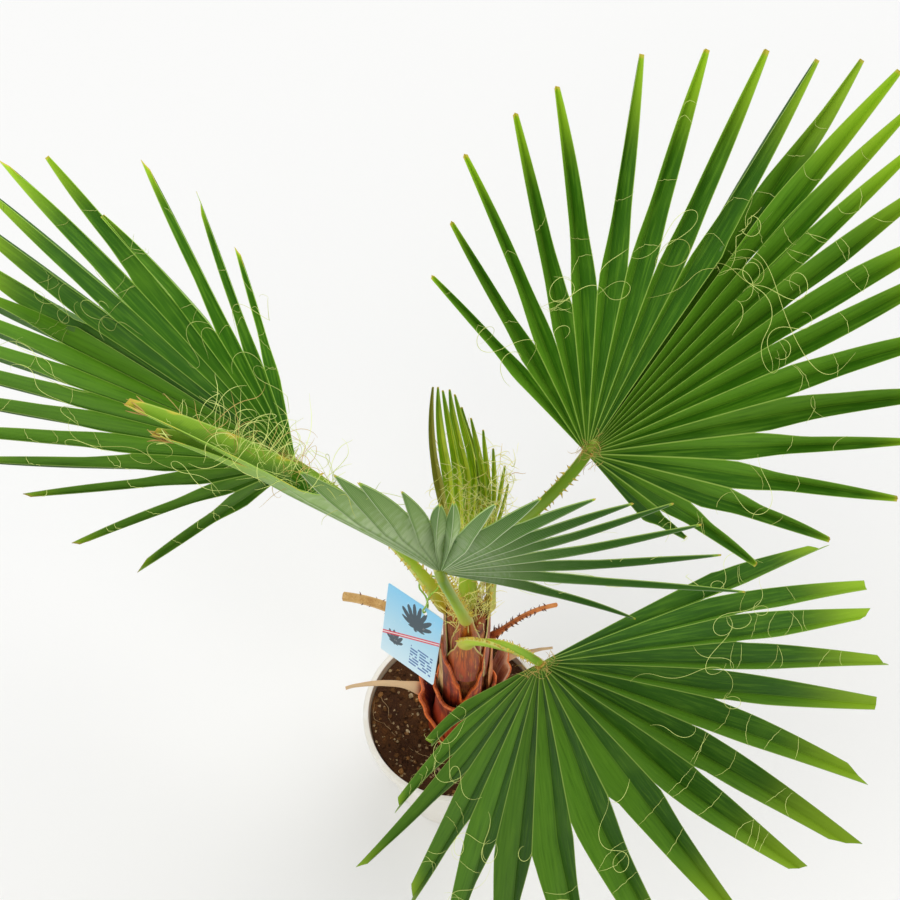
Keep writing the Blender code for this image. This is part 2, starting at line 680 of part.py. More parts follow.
def make_tie():
    """A soft closed loop round the left leaf's stalk that passes through the label's hole."""
    stalk = STALKS["leaf_left"]
    place, along, inward, _ = stalk_path(stalk, TIE_PLACE)
    upper = upper_side("leaf_left", stalk, TIE_PLACE, along, inward)
    centre = place - upper * stalk.depth * 0.4
    matrix = label_matrix()
    hole = matrix @ label_hole()
    card_up = matrix.to_3x3() @ Vector((0, 0, 1))
    card_normal = matrix.to_3x3() @ Vector((0, 1, 0))
    leave = hole - centre
    leave = (leave - along * leave.dot(along)).normalized()
    beside = along.cross(leave)
    if beside.dot(card_normal) < 0:
        beside.negate()
    half_ring = [centre + (leave * math.cos(a) + beside * math.sin(a)) * TIE_RING_RADIUS
                 for a in map(math.radians, (65, 105, 145))]
    back = centre - leave * TIE_RING_RADIUS
    middle = centre.lerp(hole, 0.62)
    strand = [middle + (beside + card_normal) * TIE_STRAND_APART,
              hole + card_up * TIE_BEND_HEIGHT + card_normal * TIE_STRAND_APART]
    bottom = hole + card_up * (LABEL_HOLE_RADIUS - 2 * TIE_RADIUS - GAP)

    def mirrored(points, through, direction):
        return [point - direction * 2 * (point - through).dot(direction) for point in points]

    far_strand = [middle - (beside + card_normal) * TIE_STRAND_APART,
                  hole + card_up * TIE_BEND_HEIGHT - card_normal * TIE_STRAND_APART]
    points = ([bottom] + strand[::-1] + half_ring + [back]
              + mirrored(half_ring, centre, beside)[::-1] + far_strand)
    curve = bpy.data.curves.new("label_tie", "CURVE")
    curve.dimensions = "3D"
    curve.resolution_u = 3
    curve.bevel_depth = TIE_RADIUS
    curve.bevel_resolution = 1
    spline = curve.splines.new("BEZIER")
    spline.bezier_points.add(len(points) - 1)
    spline.use_cyclic_u = True
    for knot, point in zip(spline.bezier_points, points):
        knot.co = point
        knot.handle_left_type = knot.handle_right_type = "AUTO"
    curve.materials.append(principled("tie_green"))
    bpy.context.scene.collection.objects.link(bpy.data.objects.new("label_tie", curve))


def main():
    clear_scene()
    make_pot()
    make_soil()
    make_grains()
    make_trunk()
    for name in STALKS:
        if name in BLADES:
            make_leaf(name)
        else:
            make_dry_leaf(name)
    make_unfolding_leaf()
    make_label()
    make_tie()


main()
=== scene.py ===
"""Potted fan palm: the dressed model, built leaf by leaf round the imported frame.

Sizes are in metres and angles in degrees unless a name says otherwise.  The origin is the middle
of the pot's underside and +Z is up.
"""

import math
import random
from dataclasses import dataclass, field
from functools import partial

import bmesh
import bpy
from bpy.props import FloatProperty, FloatVectorProperty, IntProperty, PointerProperty
from mathutils import Matrix, Vector, noise


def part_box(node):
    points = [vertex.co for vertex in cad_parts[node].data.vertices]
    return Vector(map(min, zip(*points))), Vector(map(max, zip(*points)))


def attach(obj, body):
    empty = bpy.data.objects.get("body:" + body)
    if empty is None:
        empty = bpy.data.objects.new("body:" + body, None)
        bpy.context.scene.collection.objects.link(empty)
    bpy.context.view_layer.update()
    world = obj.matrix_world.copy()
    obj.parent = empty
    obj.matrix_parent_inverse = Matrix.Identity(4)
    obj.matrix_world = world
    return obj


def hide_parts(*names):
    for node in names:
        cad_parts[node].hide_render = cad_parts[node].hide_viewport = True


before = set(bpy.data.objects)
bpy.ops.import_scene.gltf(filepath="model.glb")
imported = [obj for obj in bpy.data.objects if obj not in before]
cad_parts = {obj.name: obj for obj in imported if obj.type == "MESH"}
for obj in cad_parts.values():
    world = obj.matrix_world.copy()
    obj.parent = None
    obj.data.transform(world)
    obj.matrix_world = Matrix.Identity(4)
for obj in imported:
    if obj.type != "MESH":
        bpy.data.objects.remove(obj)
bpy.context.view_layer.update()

bl_info = {
    "name": "Potted Fan Palm",
    "version": (1, 0, 0),
    "blender": (4, 5, 0),
    "location": "View3D > Sidebar > Fan Palm",
    "description": "Builds a young fan palm in a nursery pot, with its label and a plain studio",
    "category": "Add Mesh",
}

# ---- sizes shared with the frame ----
GAP = 0.0003
POT_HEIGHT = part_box("pot")[1].z
RIM_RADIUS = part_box("pot")[1].x
BASE_RADIUS = 0.063
POT_WALL = 0.002
POT_FLOOR = 0.0045
RIM_PROUD = 0.0035
RIM_DEPTH = 0.011
SOIL_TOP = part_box("soil")[1].z
TRUNK_X = 0.01
TRUNK_FOOT = 0.035
TRUNK_TIP_RADIUS = 0.018
TRUNK_TAPER = 0.045
TRUNK_TOP = 0.394
SHEATH_THICKNESS = 0.0024
SHEATH_GAP = 0.0008
BLADE_START = 0.0045
MM = 1000.0
UP = Vector((0, 0, 1))

# ---- sizes of the dressing ----
FOOT_ROUND = 0.0022
RIM_BEAD = 0.0016
RIM_UNDER_ROUND = 0.001
RIM_INNER_ROUND = 0.0011
DRAINS = 6
DRAIN_STEP = 0.0295
DRAIN_START = 0.03
DRAIN_WIDTH = 0.012
DRAIN_HEIGHT = 0.0044
DRAIN_HOLE_RADIUS = 0.0045
DRAIN_HOLE_AT = 0.045
DRAIN_HOLE_DEPTH = 0.018
SOIL_BANK = 0.013
SOIL_BANK_WIDTH = 0.036
TRUNK_SUNK = 0.0115
TRUNK_TIP_DEPTH = 0.01
TRUNK_TIP_ROUND = 0.0115
NECK = 0.35            # share of a stalk, or of a sheath, where its shape changes
KNOB_STEPS = ((0.0045, 1.0, 0.25), (0.0075, 0.98, 0.29), (0.0105, 0.9, 0.3),
              (0.0128, 0.75, 0.26), (0.0145, 0.55, 0.2))
KNOB_DOME = -0.35
STUB_STEPS = ((0.0006, 0.82), (0.0011, 0.5))
STRAP_REACH = (0.3, 0.3)
HASTULA_SIZE = 0.002
TORN_TIP_HALF = 0.005
SPEAR_STEPS = ((0.0, 0.007), (0.08, 0.008), (0.15, 0.0082), (0.3, 0.0081), (0.5, 0.0078),
               (0.8, 0.0072), (0.93, 0.006), (1.0, 0.004))
CROWN_RADII = (0.007, 0.02)
CROWN_HEIGHTS = (0.368, 0.43)
CURL_STEP = 0.002
STRAND_STEP = 0.0022
THREAD_LIFT = 0.0006
ROOT_RADIUS = 0.0003
ROOT_LIFT = 0.0008
CRUMB_SIZES = (0.0009, 0.0014, 0.0022, 0.003)
CHIP_SIZES = (0.0006, 0.0017)
LABEL_CENTRE = Vector((-0.0395, -0.0085, 0.354))
LABEL_TURNS = (-43.0, -19.5, -8.5)
LABEL_THICKNESS = 0.0006
LABEL_CORNER = 0.002
HOLE_RADIUS = 0.0026
HOLE_IN = 0.0065
HOLE_ACROSS = 0.0113
TIE_RADIUS = 0.0008
TIE_RING_RADIUS = 0.0094
TIE_STRAND_APART = 0.0032
TIE_BEND_HEIGHT = 0.004
TIE_PLACE = 0.148
FLOOR_HALF = 9.0
SOFTBOX_ANGLE = 60
SOFTBOX_ELEVATION = 55

# ---- mesh fineness ----
JOINED_ROWS = 12
FREE_ROWS = 18
HALF_COLUMNS = 3
HASTULA_RINGS = 22
SECTION_POINTS = 15
SHEATH_RINGS = 18
STALK_RINGS = 34
PETAL_COLUMNS = 96
PETAL_ROWS = 22
STRAP_RINGS = 30
TRUNK_RINGS = 60
TRUNK_TURNS = 96
SPEAR_TURNS = 24
SOIL_RINGS = 56
SOIL_TURNS = 168
POT_SIDES = 144
LABEL_RINGS = 14
LABEL_STEP = 0.003
HALF_SECTION = [2.0 * k / (SECTION_POINTS - 1) - 1.0 for k in range(SECTION_POINTS)]
SECTION = HALF_SECTION + HALF_SECTION[::-1]


def linear(colour):
    """A hex colour in sRGB, turned to linear; the colours of the settings are linear already."""
    if not isinstance(colour, str):
        return tuple(colour)
    shares = [int(colour[place:place + 2], 16) / 255 for place in (1, 3, 5)]
    return (*(s / 12.92 if s <= 0.04045 else ((s + 0.055) / 1.055) ** 2.4 for s in shares), 1.0)


def smooth_step(value):
    value = min(max(value, 0.0), 1.0)
    return value * value * (3.0 - 2.0 * value)


def polar(away, angle):
    return away * math.cos(angle), away * math.sin(angle)


def around(count):
    """Each number of a ring with the next one, which is 0 after the last."""
    return [(k, (k + 1) % count) for k in range(count)]


def ray(angle):
    return Vector((*polar(1.0, angle), 0.0))


def around_trunk(radius, angle, height):
    """A point round the trunk's own axis."""
    x, y = polar(radius, angle)
    return Vector((TRUNK_X + x, y, height))


def square_to(heading, axis):
    """What is left of a heading at right angles to the axis, as a direction."""
    return (heading - axis * heading.dot(axis)).normalized()


def wavy(*place):
    """Smooth noise from -1 to 1."""
    return noise.noise(Vector(place))


def handles(start, leave, end, arrive, reach):
    """The four points of a curve that leaves and arrives in given directions."""
    span = (end - start).length
    return (start, start + Vector(leave).normalized() * span * reach[0],
            end - Vector(arrive).normalized() * span * reach[1], end)


def bezier(curve, share):
    """Point and direction on a curve of four points."""
    start, near, far, end = curve
    rest = 1.0 - share
    place = (start * rest ** 3 + near * 3 * rest ** 2 * share
             + far * 3 * rest * share ** 2 + end * share ** 3)
    along = ((near - start) * rest ** 2 + (far - near) * 2 * rest * share
             + (end - far) * share ** 2)
    return place, along.normalized()


# ---- how each leaf grew ----
@dataclass
class Fan:
    """A pleated fan blade.

    Pairs give the first side of the fan, then the last; threes also give the middle.  Longer,
    moved and lifted are kept by segment: a factor, a share of a segment, and metres at the tip.
    Tone is painted light and shade: it lightens or darkens the segments from the first side of
    the fan to the last, to stand in for how the leaf is lit.
    """

    hastula: tuple
    azimuth: float
    elevation: float
    roll: float
    segments: int
    length: float
    spread: tuple
    side: tuple
    fold: tuple
    droop: float
    cup: tuple = (0.0, 0.0)
    crowd: tuple = (0.0, 0.0)
    centre: float = 0.0
    power: float = 2.0
    closing: float = 0.0
    split: tuple = (0.48, 0.48, 0.48)
    tip_half: float = 0.001
    taper: float = 2.3
    depth: float = 1.35
    rest: tuple = (60, 46, 56)
    blunt: float = 0.0
    # Which half of each segment gets the painted light, 1 or -1.
    painted_lit_half: int = 1
    narrow: tuple = (1.0, 1.0, 1.0)
    open_up: tuple = ()
    browned: tuple = ()
    bloom: tuple = (1.0, 1.0, 1.0)
    tone: tuple = (0.0, 0.0, 0.0)
    longer: dict = field(default_factory=dict)
    moved: dict = field(default_factory=dict)
    lifted: dict = field(default_factory=dict)
    torn: tuple = ()
    wilt: float = 1.0

    def __post_init__(self):
        azimuth, elevation, roll = map(math.radians, (self.azimuth, self.elevation, self.roll))
        out = ray(azimuth)
        self.axis = out * math.cos(elevation) + UP * math.sin(elevation)
        level = UP * math.cos(elevation) - out * math.sin(elevation)
        self.normal = level * math.cos(roll) + self.axis.cross(level) * math.sin(roll)
        self.across = self.axis.cross(self.normal)
        self.foot = Vector(self.hastula)
        self.turn = 1 if self.spread[1] > 0 else -1
        spread = math.radians(abs(self.spread[0]) + abs(self.spread[1]))
        self.sheet = self.depth * spread / (self.segments - 1) / 2
        draw = random.Random(self.segments)
        wobble = [draw.uniform(0.86, 1.14) for _ in range(self.segments + 1)]
        self.splits = []
        for edge in range(self.segments + 1):
            shorter = min(self.reach(max(edge - 1, 0)), self.reach(min(edge, self.segments - 1)))
            self.splits.append(self.between(self.split, edge - 0.5) * wobble[edge] * shorter)

    def opening(self, segment):
        """Mean radius at which a segment parts from its neighbours."""
        return (self.splits[segment] + self.splits[segment + 1]) / 2

    def between(self, values, index):
        """A value given for the first edge, the middle and the last edge, at any index."""
        share = self.share(index)
        first, middle, last = values
        return middle + ((last if share > 0 else first) - middle) * min(abs(share), 1.0)

    def share(self, index):
        """Place of a segment in the fan, from -1 at the first edge to +1 at the last."""
        share = 2.0 * index / (self.segments - 1) - 1.0
        half = 1.0 + self.centre if share < self.centre else 1.0 - self.centre
        return (share - self.centre) / half

    def direction(self, index, closed):
        share = self.share(index)
        last = share >= 0.0
        crowded = share + self.crowd[last] * (share - share ** 3)
        angle = math.radians(abs(crowded) * self.spread[last]) * (1.0 - closed)
        fold = math.radians(self.fold[last] + self.cup[last] * abs(share))
        return (self.axis * math.cos(angle) + self.across * math.sin(angle) * math.cos(fold)
                + self.normal * abs(math.sin(angle)) * math.sin(fold))

    def reach(self, index):
        share = self.share(index)
        return self.length * (1.0 - (1.0 - self.side[share >= 0.0]) * abs(share) ** self.power)

    def point(self, index, radius):
        """Point on the unpleated fan, which droops with the square of the radius."""
        direction = self.direction(index, self.closing * radius / self.length)
        level = math.hypot(direction.x, direction.y)
        sag = self.droop * level * radius * radius / self.length
        return self.foot + direction * radius - UP * sag

    def place(self, index, radius):
        """Point, direction across the segment, and the normal of the fan's upper side."""
        step = 0.25
        point = self.point(index, radius)
        across = self.point(index + step, radius) - self.point(index - step, radius)
        along = point - self.point(index, radius * 0.9)
        normal = across.cross(along).normalized() * self.turn
        return point, across.normalized(), normal

    def half_width(self, index, radius):
        return (self.point(index + 0.5, radius) - self.point(index - 0.5, radius)).length / 2

    def fold_of(self, index, radius):
        """Flat width of half a segment, and how far each half is folded from the fan."""
        width = self.half_width(index, radius)
        flat = max(self.sheet * radius, width / 0.94)
        return flat, math.acos(width / flat)


@dataclass
class Stalk:
    """A sheath round the trunk that narrows into a leaf stalk; its blade gives it its end."""

    azimuth: float
    half_span: float
    bottom: float
    top: float
    leave: tuple
    end: tuple = ()
    arrive: tuple = ()
    layer: int = 0
    width: tuple = (0.018, 0.013, 0.012)
    depth: float = 0.007
    reach: tuple = (0.35, 0.35)
    spines: int = 0
    spine_size: float = 1.0
    slim: float = 1.0


# Each blade's tone is painted light and shade: it lightens or darkens its segments from one side
# of the fan to the other, to stand in for how that leaf is lit.
FANS = {
    "leaf_upper_right": Fan(
        hastula=(0.095, 0.0015, 0.631), azimuth=38, elevation=55, roll=35, segments=23,
        length=0.336, spread=(-59, 88), side=(0.68, 0.32), fold=(33, 33), droop=0.091,
        crowd=(0.09, -0.51), centre=-0.21, power=2.8, split=(0.42, 0.56, 0.58),
        rest=(60, 46, 50), narrow=(0.8, 0.95, 0.85), tone=(2.4, 0.3, -1.2),
        tip_half=0.0028, taper=1.9,
        longer={2: 1.07, 3: 1.04, 6: 1.02, 7: 0.98, 9: 1.05, 10: 1.09,
                **dict.fromkeys(range(11, 18), 1.05), 19: 1.07, 20: 1.04, 22: 0.9},
        moved={0: -0.16, 2: 0.1, 3: -0.18, 4: -0.33, 7: 0.16, 9: -0.44, 10: -0.33, 20: -0.2,
               21: 0.1, 22: -0.53}),
    "leaf_left": Fan(
        hastula=(-0.125, 0.035, 0.564), azimuth=150, elevation=13, roll=-20.5, segments=19,
        length=0.344, spread=(64, -85), side=(0.59, 0.65), fold=(58, 58), droop=0.095,
        centre=-0.07, tip_half=0.0026, blunt=0.7, split=(0.42, 0.66, 0.42), rest=(46, 38, 42),
        narrow=(0.62, 0.95, 0.58), depth=1.2, tone=(4.4, 0.6, -3.4),
        longer={1: 1.02, 2: 1.05, 3: 0.88, 4: 1.02, 5: 1.04, 16: 0.93},
        moved={0: 0.2, 1: -0.14, 2: -0.3, 3: 0.95, 5: -0.1, 14: -0.15, 15: -0.3, 16: -0.55,
               17: -0.25}),
    "leaf_front": Fan(
        hastula=(-0.0125, -0.0505, 0.545), azimuth=-75, elevation=69, roll=-5, segments=17,
        length=0.268, spread=(39, -96), side=(1.26, 0.67), fold=(13.5, 10.5), droop=0.047,
        cup=(14, -27), crowd=(-0.32, -0.44), centre=-0.045, split=(0.5, 0.52, 0.3),
        rest=(58, 56, 60), narrow=(0.95, 0.8, 0.5), open_up=(-0.75, -0.95),
        longer={0: 0.97, 1: 1.1, 2: 0.88, 3: 1.1, 4: 1.04, 5: 1.04, 6: 1.05, 7: 1.05, 8: 1.15,
                10: 0.97, 11: 1.04, 12: 1.07, 13: 1.08, 14: 1.08, 15: 1.18, 16: 0.96},
        moved={1: -1.0, 3: 0.7, 5: 0.3, 6: 0.3, 7: -0.23, 8: -0.34, 11: -0.1, 12: -0.58,
               13: -0.53, 14: -0.34, 15: -0.16, 16: 0.42},
        lifted={0: -0.01},
        bloom=(0.6, 0.5, 2.2), tone=(1.4, 1.8, -1.2), painted_lit_half=-1, torn=(0, 1)),
    "leaf_lower_right": Fan(
        hastula=(0.0715, -0.0525, 0.3885), azimuth=-63, elevation=22, roll=24, segments=17,
        length=0.297, spread=(112, -75), side=(0.53, 0.91), fold=(-13, -9.5), droop=0.092,
        crowd=(0.12, 0.05), tip_half=0.006, taper=1.15, blunt=0.8, split=(0.5, 0.58, 0.54),
        rest=(40, 30, 32), depth=1.07, tone=(-3.0, -3.2, -0.8), wilt=0.4,
        longer={0: 0.84, 2: 1.1, 3: 0.94, 9: 1.02, 10: 1.07, 11: 1.03, 12: 1.03, 13: 1.04,
                15: 1.06},
        moved={1: 0.2, 2: -0.4, 6: 0.4, 7: 0.3, 9: 0.26, 12: 0.27, 13: 0.1, 15: -0.3, 16: 0.1}),
    "leaf_unfolding": Fan(
        hastula=(0.01, 0.004, 0.44), azimuth=90, elevation=87, roll=0, segments=11,
        length=0.262, spread=(-14.5, 20), side=(0.99, 0.58), fold=(4, 4), droop=0.0,
        centre=-0.35, closing=0.62, split=(0.52, 0.56, 0.46), depth=1.16, rest=(38, 38, 38),
        narrow=(0.7, 0.86, 0.8), browned=(0,), tone=(1.5, 1.5, 1.0),
        longer={3: 0.97, 4: 0.94, 5: 0.94, 6: 0.91, 7: 0.94, 8: 0.94, 9: 0.96, 10: 0.93},
        moved={0: -0.66, 1: -0.95, 2: -0.8, 3: -2.1, 4: -2.1, 5: -3.1, 6: -2.6, 7: -3.1, 8: -2.2,
               9: -1.85, 10: -1.1}),
}

STALKS = {
    "leaf_upper_right": Stalk(
        azimuth=10, half_span=48, bottom=0.272, top=0.384, leave=(-0.08, 0.12, 1.0),
        reach=(0.42, 0.25), spines=26, slim=0.72),
    "leaf_left": Stalk(
        azimuth=165, half_span=44, bottom=0.268, top=0.384, leave=(-0.42, 0.1, 1.0),
        spines=22, slim=0.72),
    "leaf_front": Stalk(
        azimuth=-93, half_span=44, bottom=0.318, top=0.404, leave=(-0.16, -0.16, 1.0),
        arrive=(-0.1, -0.28, 1.0), width=(0.012, 0.0135, 0.0125), spines=16, slim=0.7),
    "leaf_lower_right": Stalk(
        azimuth=-94, half_span=50, bottom=0.288, top=0.364, layer=1, leave=(0.1, -0.16, 1.0),
        arrive=(0.75, -0.42, -0.42), width=(0.015, 0.012, 0.0104), reach=(0.55, 0.38),
        spines=24, slim=0.72),
    "dry_stub_left": Stalk(
        azimuth=166, half_span=45, bottom=0.23, top=0.306, layer=1, leave=(-0.6, 0.2, 1.0),
        end=(-0.1025, 0.038, 0.338), arrive=(-1.0, 0.1, 0.05),
        width=(0.013, 0.0098, 0.0092), depth=0.0042, reach=(0.3, 0.45), spines=9,
        spine_size=0.8),
    "dry_stub_right": Stalk(
        azimuth=12, half_span=38, bottom=0.24, top=0.322, layer=1, leave=(0.7, 0.05, 0.8),
        end=(0.0905, 0.02, 0.356), arrive=(1.0, 0.1, 0.2),
        width=(0.0088, 0.005, 0.004), depth=0.003, reach=(0.3, 0.45), spines=14,
        spine_size=0.8),
}


@dataclass
class Petal:
    """A torn leaf base that stands off the trunk: its rim is (across, height, stand off)."""

    azimuth: float
    half_span: float
    rim: tuple
    bottom: float = SOIL_TOP
    clear: float = 0.0035
    thickness: float = 0.0022
    strap_from: float = 0.0
    strap_end: tuple = ()
    strap_leave: tuple = ()
    strap_arrive: tuple = ()
    strap_width: tuple = (0.016, 0.007, 0.004)

    def rim_at(self, across):
        """Height and stand off of the rim."""
        for (low, *first), (high, *last) in zip(self.rim, self.rim[1:]):
            if across <= high:
                share = smooth_step((across - low) / (high - low))
                return [a + (b - a) * share for a, b in zip(first, last)]
        return list(self.rim[-1][1:])


PETALS = {
    "old_base_front": Petal(
        azimuth=-84, half_span=96, clear=0.005, thickness=0.0024,
        rim=((-1, 0.251, 0.004), (-0.72, 0.249, 0.0055), (-0.4, 0.243, 0.0085),
             (0.0, 0.243, 0.007), (0.4, 0.246, 0.004), (0.8, 0.25, 0.002), (1, 0.251, 0.0))),
    "old_base_left": Petal(
        azimuth=195, half_span=48,
        rim=((-1, 0.205, 0.02), (-0.4, 0.202, 0.017), (0.3, 0.186, 0.01),
             (1, 0.16, 0.004)),
        strap_from=-0.55, strap_end=(-0.108, 0.008, 0.2), strap_leave=(-0.9, 0.25, 0.25),
        strap_arrive=(-1.0, -0.25, -0.25), strap_width=(0.015, 0.0068, 0.0036)),
    "old_base_right": Petal(
        azimuth=5, half_span=42,
        rim=((-1, 0.194, 0.001), (-0.3, 0.212, 0.006), (0.4, 0.24, 0.019),
             (1, 0.244, 0.03)),
        strap_from=0.7, strap_end=(0.094, 0.028, 0.25), strap_leave=(0.9, 0.1, 0.2),
        strap_arrive=(1.0, 0.05, 0.1), strap_width=(0.012, 0.0048, 0.0026)),
    "old_base_back": Petal(
        azimuth=104, half_span=52,
        rim=((-1, 0.215, 0.005), (0, 0.246, 0.013), (1, 0.22, 0.005)),
        strap_end=(0.002, 0.056, 0.264), strap_leave=(0.0, 0.7, 1.0),
        strap_arrive=(-0.1, 0.8, 0.6), strap_width=(0.022, 0.014, 0.01)),
    "split_collar": Petal(
        azimuth=-105, half_span=53, bottom=0.196, clear=0.0032, thickness=0.0022,
        rim=((-1, 0.354, 0.0035), (-0.45, 0.318, 0.0038), (0.0, 0.282, 0.003),
             (0.15, 0.248, 0.0016), (0.55, 0.275, 0.003), (0.86, 0.305, 0.0036),
             (1, 0.352, 0.0036))),
}


# ---- settings a user may change ----
def colour_property(name, description, code):
    return FloatVectorProperty(name=name, description=description, subtype="COLOR", size=4,
                               min=0.0, max=1.0, default=linear(code))


def value_property(name, description, default, unit="LENGTH"):
    return FloatProperty(name=name, description=description, default=default, unit=unit)


def count_property(name, description, default):
    return IntProperty(name=name, description=description, default=default, min=0)


class LeafSettings(bpy.types.PropertyGroup):
    """Sizes and colours of the living leaves."""

    thickness: value_property("Blade thickness", "Thickness of the pleated sheet", 0.00045)
    thread_radius: value_property("Thread radius", "Radius of the curly threads", 0.00019)
    threads: count_property("Threads", "Loose curls on each open blade", 22)
    wraps: count_property("Wraps", "Short threads that lie across each blade", 60)
    fringe: count_property("Fringe", "Strands on the gathered edge", 130)
    tangle: count_property("Tangle", "Torn fibres at each blade's foot", 46)
    spine_length: value_property("Spine length", "Length of a stalk spine", 0.0052)
    deep: colour_property("Deep green", "Upper side near the stalk", "#204A06")
    green: colour_property("Leaf green", "Upper side of the open blades", "#427C10")
    light: colour_property("Light green", "Upper side toward the tips", "#74A62A")
    under: colour_property("Under side", "Waxy bloom on the under side", "#A6C07E")
    under_rib: colour_property("Under rib", "Midribs on the under side", "#BCC8A4")
    ridge: colour_property("Ridge", "Ridges and margins of the segments", "#A8C85A")
    dry: colour_property("Dry tip", "Dried tips", "#C3A04A")
    young: colour_property("Young green", "Blade that still unfolds", "#F4F050")
    stalk: colour_property("Stalk", "Leaf stalks", "#B0CE38")
    stalk_edge: colour_property("Stalk edge", "Margins of the stalks", "#E0DA7C")
    spine: colour_property("Spine", "Spines on the stalks", "#D8BE48")
    thread: colour_property("Thread", "Fresh threads", "#EAF590")


class BaseSettings(bpy.types.PropertyGroup):
    """Sizes and colours of the trunk and the old leaf bases."""

    fibres: count_property("Crown fibres", "Loose fibres between the stalks", 400)
    orange: colour_property("Orange", "Fresh torn base margins", "#E87428")
    mahogany: colour_property("Mahogany", "Outer side of the old bases", "#9C3218")
    # Hollow is painted shade: the dark of the old bases' inner sides, which face the trunk.
    hollow: colour_property("Hollow", "Inner side of the old bases", "#300D1E")
    tan: colour_property("Tan", "Dried stalks", "#C49A5A")
    fibre: colour_property("Fibre", "Fibres of the crown", "#FAF490")


class PotSettings(bpy.types.PropertyGroup):
    """Sizes and colours of the pot and what fills it."""

    crumbs: count_property("Crumbs", "Crumbs of bark and peat on the soil", 520)
    chips: count_property("Chips", "Small pale chips in the soil", 34)
    roots: count_property("Roots", "Fine roots that lie on the soil", 16)
    pot: colour_property("Pot", "Moulded pot", "#F1EDE2")
    peat: colour_property("Peat", "Damp peat", "#442B1C")
    bark: colour_property("Bark crumbs", "Composted bark", "#6A4628")
    pumice: colour_property("Pumice", "Pumice chips", "#B8A078")


class LabelSettings(bpy.types.PropertyGroup):
    """Sizes and colours of the label and its tie."""

    width: value_property("Label width", "Width of the card", 0.064)
    height: value_property("Label height", "Height of the card", 0.081)
    curl: value_property("Label curl", "Bow of the card", 0.001)
    sky: colour_property("Card", "Printed ground at the top", "#8CD4FA")
    haze: colour_property("Card foot", "Printed ground at the foot", "#D6F0FA")
    motif: colour_property("Motif", "Printed leaves", "#38434A")
    band: colour_property("Band", "Printed band", "#DC3450")
    rows: colour_property("Rows", "Printed rows", "#2F62A6")
    tie: colour_property("Tie", "Soft tie", "#86B82E")


class StudioSettings(bpy.types.PropertyGroup):
    """The camera and the light."""

    focal: value_property("Focal length", "Lens on a 36 mm sensor", 57.08, "CAMERA")
    camera_place: FloatVectorProperty(name="Camera place", description="Place of the lens",
                                      default=(-0.005, -0.57, 1.503), subtype="TRANSLATION")
    camera_pitch: value_property("Camera pitch", "Turn of the camera from down",
                                 math.radians(33.4), "ROTATION")
    key: value_property("Key", "Strength of the front softbox", 1.3, "NONE")
    rim: value_property("Rim", "Strength of the back softbox", 1.3, "NONE")
    fill: value_property("Fill", "Strength of the surrounding light", 0.42, "NONE")
    floor: colour_property("Floor", "Pale floor", "#F1F1F0")


class FanPalmSettings(bpy.types.PropertyGroup):
    """All settings of the add-on."""

    leaf: PointerProperty(type=LeafSettings)
    base: PointerProperty(type=BaseSettings)
    pot: PointerProperty(type=PotSettings)
    label: PointerProperty(type=LabelSettings)
    studio: PointerProperty(type=StudioSettings)


def settings():
    return bpy.context.scene.fan_palm


# ---- building pieces ----
class Skin:
    """Points and faces of one piece.  Each face corner has four values, kept as two maps."""

    def __init__(self):
        self.points, self.faces, self.corners, self.slots, self.tones = [], [], [], [], []

    def add(self, point):
        self.points.append(tuple(point))
        return len(self.points) - 1

    def face(self, ids, corners=None, slot=0, tone=0.0):
        self.faces.append(tuple(ids))
        self.corners.append(corners or [(0.0, 0.0, 0.0, 0.0)] * len(ids))
        self.slots.append(slot)
        self.tones.append(tone)

    def piece(self, name, materials, replaces, slot, sharp=45):
        """Make the mesh object, and let it ride on the frame."""
        mesh = bpy.data.meshes.new(name)
        mesh.from_pydata(self.points, [], self.faces)
        for title, first in (("Across", 0), ("Along", 2)):
            layer = mesh.uv_layers.new(name=title)
            values = [v for face in self.corners for c in face for v in c[first:first + 2]]
            layer.uv.foreach_set("vector", values)
        tone = mesh.attributes.new("Tone", "FLOAT", "FACE")
        tone.data.foreach_set("value", self.tones)
        mesh.polygons.foreach_set("material_index", self.slots)
        return ride(name, mesh, materials, replaces, sharp)


def linked(name, data):
    thing = bpy.data.objects.new(name, data)
    bpy.context.scene.collection.objects.link(thing)
    return thing


def mesh_of(name, bm):
    mesh = bpy.data.meshes.new(name)
    bm.to_mesh(mesh)
    bm.free()
    return mesh


def ride(name, mesh, materials, replaces, sharp):
    """Give the mesh its finishes and let it ride on the frame."""
    for material in materials:
        mesh.materials.append(material)
    mesh.shade_smooth()
    mesh.set_sharp_from_angle(angle=math.radians(sharp))
    thing = linked(name, mesh)
    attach(thing, "root")
    if replaces:
        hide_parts(*replaces)
    return thing


def skin_loft(skin, rings, values, slot=0, tone=0.0, slot_of=None):
    """Skin over closed rings of equal count; values gives each ring point its four numbers."""
    loops = [[skin.add(point) for point in ring] for ring in rings]
    count = len(rings[0])
    for row in range(len(rings) - 1):
        for k, after in around(count):
            quad = ((row, k), (row, after), (row + 1, after), (row + 1, k))
            skin.face([loops[r][c] for r, c in quad], [values[r][c] for r, c in quad],
                      slot_of(k) if slot_of else slot, tone)
    for row, order in ((0, -1), (len(rings) - 1, 1)):
        skin.face(loops[row][::order], values[row][::order], slot, tone)


def skin_tube(skin, points, radii, sides, slot, tone=0.0):
    """A thin tube along a line; its ends are closed with flat caps."""
    axis = (points[1] - points[0]).normalized()
    side = axis.orthogonal().normalized()
    turns = [math.tau * n / sides for n in range(sides)]
    rings, values = [], []
    for k, point in enumerate(points):
        ahead = points[min(k + 1, len(points) - 1)] - points[max(k - 1, 0)]
        if ahead.length > 0:
            axis = ahead.normalized()
        side = square_to(side, axis)
        other = axis.cross(side)
        rings.append([point + (side * math.cos(t) + other * math.sin(t)) * radii[k]
                      for t in turns])
        values.append([(n / sides, 0.0, k / (len(points) - 1), 0.0) for n in range(sides)])
    skin_loft(skin, rings, values, slot, tone)


